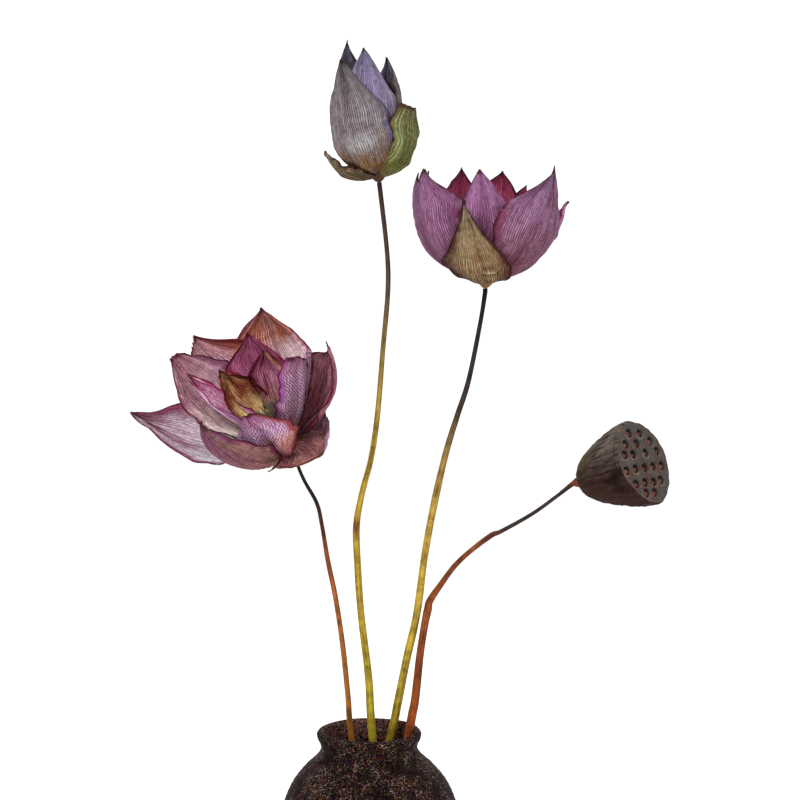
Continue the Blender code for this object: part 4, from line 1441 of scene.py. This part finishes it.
BUD = FlowerHead(
    name="bud", where=AxisFrame((0.0082, 0.0, 0.6353), (-0.12, -0.03, 1.0)),
    petals=(
        Petal(85, (42, -12, -30), 0.103, 0.056, (60, 60), look=DUSK),
        Petal(138, (46, -6, -22), 0.122, 0.05, (60, 60), look=DUSK, roll=(60, 0)),
        Petal(34, (47, 0, -16), 0.103, 0.057, (70, 70), look=DUSK, left=(1, 1, 0.95, 0.95, 1.1, 1)),
        Petal(
            272, (60, -20, -26), 0.11, 0.058, (60, 60), seat=INNER_SEAT, look=LILAC_GREY,
            left=(1.5, 1.2, 1, 1, 1, 1), right=(1.5, 1.3, 1, 0.9, 0.8, 1), crumple=0.0014,
        ),
        Petal(
            246, (92, -16, -14), 0.115, 0.072, (70, 70), -0.004, (0.006, 0.006), look=BROWN_GREY,
            crumple=0.0016, left=(2.2, 1.35, 1, 0.8, 0.85, 1), right=(2.2, 1.35, 1.1, 1, 0.95, 1), end=0.02,
            dents=(
                Dent(0.36, 0.15, (0.08, 0.14), 0.0022), Dent(0.47, 0.15, (0.02, 0.16), -0.0012),
                Dent(0.56, 0.2, (0.06, 0.12), -0.0008, waves=1.6), Dent(0.83, -0.8, (0.06, 0.08), -0.0012),
            ),
        ),
    ),
    outer_petals=(
        Petal(
            334, (88, 24, -12), 0.07, 0.05, (45, 45), 0.0, SEPAL_SEAT, point=0.7, look=GREEN, end=0.4,
            left=(1.5, 1.3, 1, 1.1, 1.6, 1.8), right=(2.4, 1.9, 1.1, 0.8, 0.8, 0.6), crest=(0, 0, -0.06),
            roll=(60, 30), tip_curl=50, crumple=0.0026,
        ),
        Petal(
            200, (106, 54, 14), 0.053, 0.03, (35, 35), 0.0, SEPAL_SEAT, point=0.7, look=OLIVE,
            left=(1.6, 1.4, 1.3, 1, 0.9, 1), right=(1.6, 1.3, 1.1, 0.9, 0.9, 1),
        ),
    ),
    outer_node="bud_sepals", petal_slot=Slot.GREY, outer_slot=Slot.GREEN,
    calyx=GrainFinish(0x5A3A1E, 0x3A2416, 0x2A1810), core=GrainFinish(0x6E4418, 0x4A3018, 0x2A1810),
    heart_height=0.01, heart_radius=0.007, stamens=0,
)


# ---- stems ----


@dataclass(frozen=True)
class Stem:
    """A dried stalk from its flower head down to the bottom of the vase.

    Attributes:
        name: The node it stands for.
        head: Points under the flower head, as x, y, z and radius.
        route: Points of the route from there to the vase's mouth.
        foot: Where it stands on the bottom of the vase.
        finish: Its colours.
        seed: Of its noise and unevenness.
        FLOOR: Height of the vase's bottom.
        MOUTH: Height of the vase's mouth.
    """

    name: str
    head: tuple[Knot, ...]
    route: tuple[Knot, ...]
    foot: tuple[float, float]
    finish: StemFinish
    seed: int

    RINGS, SIDES = 260, 26
    FLOOR = 0.0075
    MOUTH = 0.17

    def build(self) -> None:
        """Carry a ring along the route, with lengthwise grooves: r times 1 + a cos(k angle) + low waves."""
        x, y, z, radius = self.route[-1]
        lean = math.atan2(math.hypot(x - self.foot[0], y - self.foot[1]), z - self.FLOOR)
        end = (*self.foot, self.FLOOR + radius * math.sin(lean), radius)
        rows = smooth_path(np.array((*self.head, *self.route, end)), self.RINGS)
        spine, radius = rows[:, :3], rows[:, 3]
        along = travelled(spine)
        mouth = along[np.argmax(spine[:, 2] < self.MOUTH)]
        tangent = np.gradient(spine, axis=0)
        tangent /= np.linalg.norm(tangent, axis=1, keepdims=True)
        side = np.cross(tangent, (0.0, 1.0, 0.0))
        side /= np.linalg.norm(side, axis=1, keepdims=True)
        front = np.cross(tangent, side)
        angle = round_angles(self.SIDES)
        draw = np.random.default_rng(self.seed)
        s, a = np.meshgrid(along / 0.05, angle / TAU, indexing="ij")
        lumps = ripples(s, 0.0 * a, draw, 6, (0.15, 1.2), (0.0, 0.01))
        grooves = 0.035 * np.cos(7.0 * TAU * a + 0.6 * np.sin(2.0 * s)) + 0.02 * np.cos(12.0 * TAU * a + s)
        shape = radius[:, None] * (1.0 + 0.05 * lumps + grooves)
        ring = np.cos(angle)[None, :, None] * side[:, None] + np.sin(angle)[None, :, None] * front[:, None]
        points = spine[:, None] + shape[..., None] * ring
        flat, faces = closed_rings(points)
        share = np.clip(along / mouth, 0.0, 1.0)
        attributes = {
            "along": np.concatenate([np.repeat(share, self.SIDES), (0.0, 1.0)]),
            "around": np.concatenate([np.tile(np.sin(angle), self.RINGS), (0.0, 0.0)]),
        }
        faces = [f[:, ::-1] for f in faces] if self.inside_out(points) else faces
        finish = self.finish.material(self.name, self.seed)
        place_piece(mesh_piece(self.name + "_stalk", flat, faces, finish, attributes), Slot.STEM, self.name)

    @staticmethod
    def inside_out(points: Array) -> bool:
        """Whether the quads of rings by sides face the spine: their first one's normal against its radius."""
        a, b, d = points[0, 0], points[0, 1], points[1, 0]
        return bool(np.dot(np.cross(b - a, d - a), a - points[0].mean(0)) < 0.0)


def head_points(where: AxisFrame, *flare: tuple[float, float]) -> tuple[Knot, ...]:
    """Points of a stem under its head, as distances back along the head's axis with the radius there."""
    return tuple((*where.world(np.array((0.0, 0.0, -back)))[0], radius) for back, radius in flare)


POD_FRAME = AxisFrame((0.185, 0.0306, 0.3793), (0.59, -0.765, 0.25))
STEMS = (
    Stem(
        "open_stem", head_points(OPEN_BLOOM.where, (0.0003, 0.00168), (0.006, 0.00168)),
        (
            (-0.0588, -0.029, 0.3965, 0.0015), (-0.0533, -0.027, 0.3829, 0.0015),
            (-0.0432, -0.024, 0.364, 0.0016), (-0.0391, -0.02, 0.345, 0.0017),
            (-0.0344, -0.014, 0.3145, 0.0019), (-0.0284, -0.009, 0.2839, 0.0021),
            (-0.0226, -0.003, 0.2423, 0.0023), (-0.0183, 0.003, 0.1969, 0.0024),
            (-0.015, 0.006, 0.1586, 0.0025),
        ),
        (0.005, 0.014),
        StemFinish(((0, 0x120D0E), (0.22, 0x2E1A16), (0.38, 0x74381C), (0.62, 0x9A5A28), (1, 0x8E5A1C))), 11,
    ),
    Stem(
        "bud_stem", head_points(BUD.where, (0.0003, 0.00204), (0.006, 0.00204)),
        (
            (0.0148, -0.001, 0.5774, 0.002), (0.0157, -0.002, 0.5427, 0.0021),
            (0.0115, -0.003, 0.4927, 0.0022), (0.0069, -0.004, 0.4373, 0.0023),
            (0.0014, -0.004, 0.4004, 0.0025), (-0.0059, -0.005, 0.3723, 0.0026),
            (-0.0109, -0.006, 0.3437, 0.0028), (-0.0099, -0.006, 0.3105, 0.0028),
            (-0.0069, -0.007, 0.2684, 0.003), (-0.0005, -0.008, 0.2158, 0.0032),
            (0.0032, -0.008, 0.1614, 0.0033),
        ),
        (0.019, -0.004),
        StemFinish((
            (0, 0x2A1C18), (0.2, 0x4A3A2E), (0.36, 0x8A7030), (0.55, 0xB08E30), (0.61, 0xAA8A2C),
            (0.635, 0x5A1E14), (0.66, 0xA4842A), (1, 0x8C7C1A),
        )), 12,
    ),
    Stem(
        "cup_stem", head_points(CUP_BLOOM.where, (0.0003, 0.00204), (0.006, 0.00204)),
        (
            (0.0943, 0.01, 0.5135, 0.0019), (0.0847, 0.011, 0.4663, 0.0022),
            (0.0751, 0.012, 0.4363, 0.0025), (0.0655, 0.012, 0.4048, 0.0027),
            (0.0558, 0.013, 0.3627, 0.003), (0.0473, 0.014, 0.317, 0.0031),
            (0.0405, 0.015, 0.2668, 0.0033), (0.0316, 0.015, 0.2269, 0.0034),
            (0.0238, 0.016, 0.188, 0.0035), (0.0174, 0.016, 0.1578, 0.0035),
        ),
        (-0.017, 0.026),
        StemFinish(((0, 0x141012), (0.25, 0x2E2620), (0.36, 0x6E5630), (0.55, 0xAE8C36), (1, 0x9A8420))), 13,
    ),
    Stem(
        "pod_stem",
        head_points(POD_FRAME, (-0.005, 0.0056), (0.003, 0.005), (0.008, 0.0036), (0.012, 0.0023)),
        (
            (0.1705, 0.049, 0.369, 0.0018), (0.164, 0.054, 0.3632, 0.0016),
            (0.1439, 0.058, 0.3482, 0.0017), (0.1163, 0.054, 0.3333, 0.0019),
            (0.107, 0.051, 0.3298, 0.0024), (0.0885, 0.044, 0.317, 0.0022),
            (0.0738, 0.036, 0.3044, 0.0024), (0.061, 0.026, 0.2889, 0.0026),
            (0.0517, 0.018, 0.2764, 0.003), (0.0501, 0.015, 0.27, 0.0034),
            (0.0473, 0.011, 0.2578, 0.0033), (0.0429, 0.006, 0.2314, 0.0033),
            (0.0386, 0.002, 0.1941, 0.0036), (0.0332, 0.0, 0.1653, 0.0037),
        ),
        (0.006, -0.022),
        StemFinish((
            (0, 0x6E2810), (0.055, 0x6E2A12), (0.075, 0x2E2426), (0.3, 0x3A2A28), (0.42, 0x7C401C),
            (1, 0x803A10),
        )), 14,
    ),
)


# ---- vase ----


@dataclass(frozen=True)
class Vase:
    """The thrown vase: a full body that narrows to a neck under a rolled lip.

    Attributes:
        wall: Radius and height of the wall, up its outside to the lip and down its inside.
        rings: Rings of the wall.
        sides: Points round it.
        finish: Its glaze.
        WOBBLE: How far the wall strays from round.
        THROWING: Height of the throwing rings.
        THROWING_RATE: Radians of their wave for each metre of height.
        DRAW: Where its random numbers start.
    """

    wall: tuple[tuple[float, float], ...] = (
        (0.044, 0.0), (0.047, 0.002), (0.051, 0.01), (0.0625, 0.033), (0.0735, 0.061),
        (0.077, 0.086), (0.075, 0.104), (0.067, 0.124), (0.056, 0.138), (0.047, 0.1462),
        (0.0425, 0.1515), (0.0407, 0.156), (0.042, 0.1605), (0.0442, 0.165), (0.0438, 0.1685),
        (0.042, 0.17), (0.0394, 0.1693), (0.0376, 0.165), (0.0366, 0.157), (0.0385, 0.149),
        (0.0515, 0.135), (0.0625, 0.1215), (0.07, 0.103), (0.0718, 0.086), (0.0685, 0.062),
        (0.0575, 0.035), (0.0455, 0.011), (0.04, 0.007),
    )
    rings: int = 260
    sides: int = 144
    finish: GlazeFinish = field(default_factory=GlazeFinish)

    WOBBLE, THROWING, THROWING_RATE = 0.00022, 0.00018, 1400.0
    DRAW = 21

    def build(self) -> None:
        """Turn the wall's smoothed profile about Z, uneven by faint throwing rings and a slow wobble."""
        rows = smooth_path(np.array(self.wall), self.rings)
        radius, height = rows[:, :1], rows[:, 1:]
        draw = np.random.default_rng(self.DRAW)
        angle = round_angles(self.sides)
        lump = sum(draw.uniform(0.2, 1.0) * np.cos(k * angle + draw.uniform(0.0, TAU)
                   + 60.0 * draw.uniform(-1.0, 1.0) * height) for k in range(1, 7))
        throwing = self.THROWING * np.sin(height * self.THROWING_RATE) * ease(height, 0.004, 0.02)
        radii = radius + self.WOBBLE * lump * ease(height, 0.0, 0.02) + throwing
        flat, faces = closed_rings(turned_grid(radii, np.clip(rows[:, 1], 0.0, None), self.sides))
        inner = np.repeat(np.arange(self.rings) > rows[:, 1].argmax(), self.sides)
        inner = np.append(inner, (False, True))
        piece = mesh_piece("vase_body", flat, faces, self.finish.material("vase_glaze"), {"inner": inner})
        place_piece(piece, Slot.GLAZE, "vase")


# ---- seed pod ----


@dataclass(frozen=True)
class SeedPod:
    """The seed pod: a wrinkled wall that flares to a lobed rim, and a flat face with a seed in every hole.

    Attributes:
        where: Its frame, at the foot.
        height: From foot to face.
        face_radius: Mean radius of the face.
        profile: Mean radius and height of the wall.
        rim: Radius of the rim every 30 degrees, as a share of its mean.
        crown: Rise of the face's middle.
        hole_rows: Height of each row of holes on the face, and the places along it.
        row_tilt: Slope of the rows.
        hole_radius: Of a hole.
        hole_depth: Of a hole.
        sides: Points round the pod.
        wall_rings: Rings of the wall.
        face_rings: Rings of the face.
        finish: Its finish.
        WRINKLE: Height of the wall's relief.
        UNEVEN: Height of the face's relief.
        FOLD, CREASE: Angles of the deep fold and of the crease at the rim, in degrees.
        EDGE: Where a hole's edge begins and ends, past its radius.
        LIP, LIP_PLACE, LIP_WIDTH: Height of a hole's lip, its distance past the radius and its width.
        SEED: Radius of a seed.
        SEED_SHIFT: From the middle of a hole's bottom to the middle of its seed.
        HOLE_DRAW, WRINKLE_DRAW: Where their random numbers start.
    """

    where: AxisFrame = POD_FRAME
    height: float = 0.073
    face_radius: float = 0.0316
    profile: tuple[tuple[float, float], ...] = (
        (0.0055, 0.004), (0.0105, 0.005), (0.015, 0.008), (0.0192, 0.014), (0.0235, 0.0235),
        (0.0272, 0.035), (0.03, 0.048), (0.0318, 0.06), (0.0326, 0.069), (0.0324, 0.0718),
        (0.0316, 0.073),
    )
    rim: tuple[float, ...] = (0.94, 0.935, 0.975, 1.055, 1.142, 1.006, 0.91, 0.88, 0.85, 0.98, 1.13, 1.05)
    crown: float = 0.001
    hole_rows: tuple[tuple[float, tuple[float, ...]], ...] = (
        (0.0262, (-0.015, -0.0024)), (0.018, (-0.02, -0.0075, 0.0087)),
        (0.0085, (-0.0208, -0.0115, 0.0028, 0.017)), (-0.0045, (-0.02, -0.0103, 0.0, 0.0112, 0.0216)),
        (-0.0167, (-0.0096, 0.0, 0.0106, 0.0199)), (-0.0263, (0.0024, 0.0117)),
    )
    row_tilt: float = 0.25
    hole_radius: float = 0.0036
    hole_depth: float = 0.0055
    sides: int = 360
    wall_rings: int = 90
    face_rings: int = 96
    finish: PodFinish = field(default_factory=PodFinish)

    WRINKLE, UNEVEN = 0.0016, 0.0018
    FOLD, CREASE = 228.0, 205.0
    EDGE = (-0.0005, 0.0004)
    LIP, LIP_PLACE, LIP_WIDTH = 0.0004, 0.0009, 0.0008
    SEED = 0.003
    SEED_SHIFT = (-0.0003, -0.0009, 0.0026)
    HOLE_DRAW, WRINKLE_DRAW = 12, 31

    def hole_centres(self) -> Array:
        """Place the seed holes in the face: tilted rows, each hole shifted a little.

        Returns:
            Rows of x and y.
        """
        draw = np.random.default_rng(self.HOLE_DRAW)
        centres = [(x, y + self.row_tilt * x) for y, row in self.hole_rows for x in row]
        return np.array(centres) + draw.uniform(-0.0006, 0.0006, (len(centres), 2))

    def build(self) -> None:
        """Build the wall with its face as one closed mesh, and the seeds."""
        angle = round_angles(self.sides)
        turns = np.linspace(0.0, 1.0, 49)
        around_rim = np.interp(angle, TAU * turns, profile(turns, (*self.rim, self.rim[0])))
        around_rim = around_rim + 0.006 * np.cos(13.0 * angle) + 0.005 * np.cos(19.0 * angle + 1.0)
        wall = smooth_path(np.array(self.profile), self.wall_rings)
        share = np.linspace(1.0, 0.0, self.face_rings + 1)[1:-1]
        face = np.stack([self.face_radius * share, self.height + self.crown * (1.0 - share**2)], 1)
        rows = np.vstack([wall, face])
        flare = ease(rows[:, 1:], 0.0, 0.9 * self.height)
        points = turned_grid(rows[:, :1] * (1.0 + (around_rim - 1.0) * flare), rows[:, 1], self.sides)
        on_face = np.repeat((0.0, 1.0), (self.wall_rings, self.face_rings - 1))[:, None] * np.ones(self.sides)
        climb = np.clip(points[..., 2] / self.height, 0.0, 1.0)
        around = np.broadcast_to(angle / TAU, climb.shape)
        low = np.broadcast_to(0.5 - 0.5 * np.sin(angle), climb.shape)
        points, relief = self.wrinkle(points, on_face, climb, angle)
        points, hole, lip = self.pierce(points, on_face)
        flat, faces = closed_rings(points)
        fields = dict(climb=climb, face=on_face, hole=hole, lip=lip, relief=relief, around=around, low=low)
        ends = {"climb": (0.0, 1.0), "face": (0.0, 1.0), "hole": (0.0, hole[-1].mean())}
        attributes = {k: np.concatenate([f.ravel(), ends.get(k, (0.0, 0.0))]) for k, f in fields.items()}
        finish = self.finish.material("pod")
        piece = mesh_piece("seed_pod_body", self.where.world(flat), faces, finish, attributes)
        place_piece(piece, Slot.POD, "seed_pod")
        self.build_seeds()

    def wrinkle(self, points: Array, on_face: Array, climb: Array, angle: Array) -> tuple[Array, Array]:
        """Fold the wall lengthwise and crumple it, and make the face slightly uneven.

        Folds are a number less the size of a sum of waves, so that they meet in sharp ridges, and fade
        towards the rim.

        Args:
            points: Rings by sides by 3.
            on_face: 1 on the face.
            climb: 0 at the stem to 1 at the rim.
            angle: Angle of each side.

        Returns:
            The moved points and the relief.
        """
        draw = np.random.default_rng(self.WRINKLE_DRAW)
        s = climb * 1.6
        folds = sum(np.cos(k * angle + draw.uniform(0.0, TAU) + draw.uniform(-1.5, 1.5) * s)
                    * draw.uniform(0.4, 1.0) for k in (5, 8, 11, 14, 19)) / 2.4
        sharp = 0.45 - np.abs(folds) ** 0.8
        knots = ripples(np.cos(angle) + 1.3 * s, np.sin(angle) - 0.7 * s, draw, 9, (0.8, 3.2), (0.8, 3.2))
        band = ease(climb, 0.02, 0.25) * (1.0 - 0.65 * ease(climb, 0.8, 0.98))
        turn = np.degrees(angle)
        fold = np.exp(-(((turn - self.FOLD) / 22.0) ** 2) - ((climb - 0.84) / 0.1) ** 2)
        crease = np.exp(-(((turn - self.CREASE - 55.0 * (0.95 - climb)) / 5.0) ** 2))
        crease = crease * ease(climb, 0.55, 0.75)
        relief = (0.9 * sharp + 0.5 * (0.3 - np.abs(knots))) * band * (1.0 - on_face) + 0.12 * knots * on_face
        relief = relief - (1.1 * fold + 1.2 * crease) * (1.0 - on_face)
        radial = points[..., :2] / np.maximum(np.linalg.norm(points[..., :2], axis=2, keepdims=True), 1e-9)
        moved = points.copy()
        moved[..., :2] += (self.WRINKLE * relief * (1.0 - on_face))[..., None] * radial
        moved[..., 2] += self.UNEVEN * relief * on_face
        return moved, relief

    def pierce(self, points: Array, on_face: Array) -> tuple[Array, Array, Array]:
        """Sink a hole into the face at every centre, with a low raised lip round it.

        At a distance d from the nearest centre the face drops by the hole's depth times one less the
        smoothstep of d across the hole's edge, and rises by a bell curve just outside it.

        Args:
            points: Rings by sides by 3.
            on_face: 1 on the face.

        Returns:
            The moved points, how far each is in a hole, which the finish paints dark as shade, and how far it
            is on the lower lip of one, where the finish paints a highlight.
        """
        centres = self.hole_centres()
        apart = points[:, :, None, :2] - centres
        distance = np.linalg.norm(apart, axis=3)
        nearest = distance.argmin(2)
        d = distance.min(2)
        offset = np.take_along_axis(apart, nearest[..., None, None], 2)[:, :, 0]
        past = d - self.hole_radius
        inside = (1.0 - ease(past, *self.EDGE)) * on_face
        lip = np.exp(-(((past - self.LIP_PLACE) / self.LIP_WIDTH) ** 2)) * on_face
        moved = points.copy()
        moved[..., 2] += self.LIP * lip * (1.0 - inside) - self.hole_depth * inside
        # Only the lower side of each lip gets the painted highlight.
        low = ease(-offset[..., 1] / np.maximum(d, 1e-9), -0.2, 0.9)
        return moved, inside, lip * low

    def build_seeds(self) -> None:
        """Build the seeds as egg shapes with a small point, one in every hole."""
        rings, sides = 14, 16
        polar = np.linspace(0.0, math.pi, rings + 2)[1:-1]
        radii = self.SEED * np.sin(polar) * (1.0 + 0.08 * np.cos(polar))
        heights = 0.0005 * ease(polar, 2.6, math.pi) - self.SEED * np.cos(polar)
        flat, faces = closed_rings(turned_grid(radii[:, None], heights, sides))
        centres = self.hole_centres()
        bottom = np.full(len(centres), self.height - self.hole_depth)
        places = np.column_stack([centres, bottom]) + self.SEED_SHIFT
        points = (flat[None] + places[:, None]).reshape(-1, 3)
        copies = copied_faces(faces, len(centres), len(flat))
        far = np.tile(np.concatenate([np.repeat(polar / math.pi, sides), (0.0, 1.0)]), len(centres)) * 0.6
        finish = GrainFinish(0x6C3E32, 0x4A241C, 0x2E140E).material("seeds")
        piece = mesh_piece("seed_pod_seeds", self.where.world(points), copies, finish, {"far": far})
        place_piece(piece, Slot.POD, "seed_pod")


# ---- studio ----


@dataclass(frozen=True)
class Softbox:
    """A square area light that looks at a point.

    Attributes:
        name: Its name.
        place: Where it hangs.
        target: The point it looks at.
        side: Length of its side.
        watts: Its power.
    """

    name: str
    place: tuple[float, float, float]
    target: tuple[float, float, float]
    side: float
    watts: float

    def build(self) -> None:
        """Add the light."""
        data = bpy.data.lights.new(self.name, "AREA")
        data.size = self.side
        data.energy = self.watts
        light = bpy.data.objects.new(self.name, data)
        light.location = self.place
        light.rotation_euler = (Vector(self.target) - Vector(self.place)).to_track_quat("-Z", "Y").to_euler()
        bpy.context.scene.collection.objects.link(light)


@dataclass(frozen=True)
class Studio:
    """A plain pale floor, soft light from all round and a level camera.

    Attributes:
        lights: The softboxes.
        camera_place: Where the camera stands.
        lens: Its focal length in millimetres.
        surround: Strength of the light from all round.
        floor_side: Length of the floor's side.
    """

    lights: tuple[Softbox, ...] = (
        Softbox("key_light", (-0.9, -1.7, 1.7), (0.0, 0.0, 0.45), 0.7, 34.0),
        Softbox("fill_light", (1.5, -1.4, 0.8), (0.0, 0.0, 0.4), 1.2, 6.0),
        Softbox("back_light", (0.4, 1.8, 1.9), (0.0, 0.0, 0.45), 1.0, 8.0),
    )
    camera_place: tuple[float, float, float] = (0.026, -1.133, 0.45)
    lens: float = 60.0
    surround: float = 1.15
    floor_side: float = 30.0

    def build(self) -> None:
        """Add the floor, the lights, the surrounding light and the camera."""
        half = 0.5 * self.floor_side
        corners = np.array(((-half, -half, 0.0), (half, -half, 0.0), (half, half, 0.0), (-half, half, 0.0)))
        g = Graph("floor")
        tone = g.blend(g.noise(g.place(), 3.0), 0xF4F4F2, 0xF7F7F5)
        finish = g.finish(tone, 0.9, g.noise(g.place(), 200.0), 0.0001)
        mesh_piece("floor", corners, [np.array(((0, 1, 2, 3),))], finish)
        for light in self.lights:
            light.build()
        world = bpy.data.worlds.new("soft_surround")
        bpy.context.scene.world = world
        world.use_nodes = True
        sky = world.node_tree.nodes["Background"]
        sky.inputs["Color"].default_value = (1.0, 1.0, 1.0, 1.0)
        sky.inputs["Strength"].default_value = self.surround
        data = bpy.data.cameras.new("camera")
        data.lens = self.lens
        camera = bpy.data.objects.new("camera", data)
        camera.location = self.camera_place
        camera.rotation_euler = (math.radians(90.0), 0.0, 0.0)
        bpy.context.scene.collection.objects.link(camera)
        bpy.context.scene.camera = camera
        bpy.context.scene.view_settings.view_transform = "Standard"


def main() -> None:
    """Build the vase, the stems, the flower heads and the seed pod, and the studio round them."""
    logging.basicConfig(level=logging.INFO, format="%(message)s")
    Vase().build()
    for stem in STEMS:
        stem.build()
    for head in (OPEN_BLOOM, CUP_BLOOM, BUD):
        head.build()
    SeedPod().build()
    Studio().build()


if __name__ == "__main__":
    main()
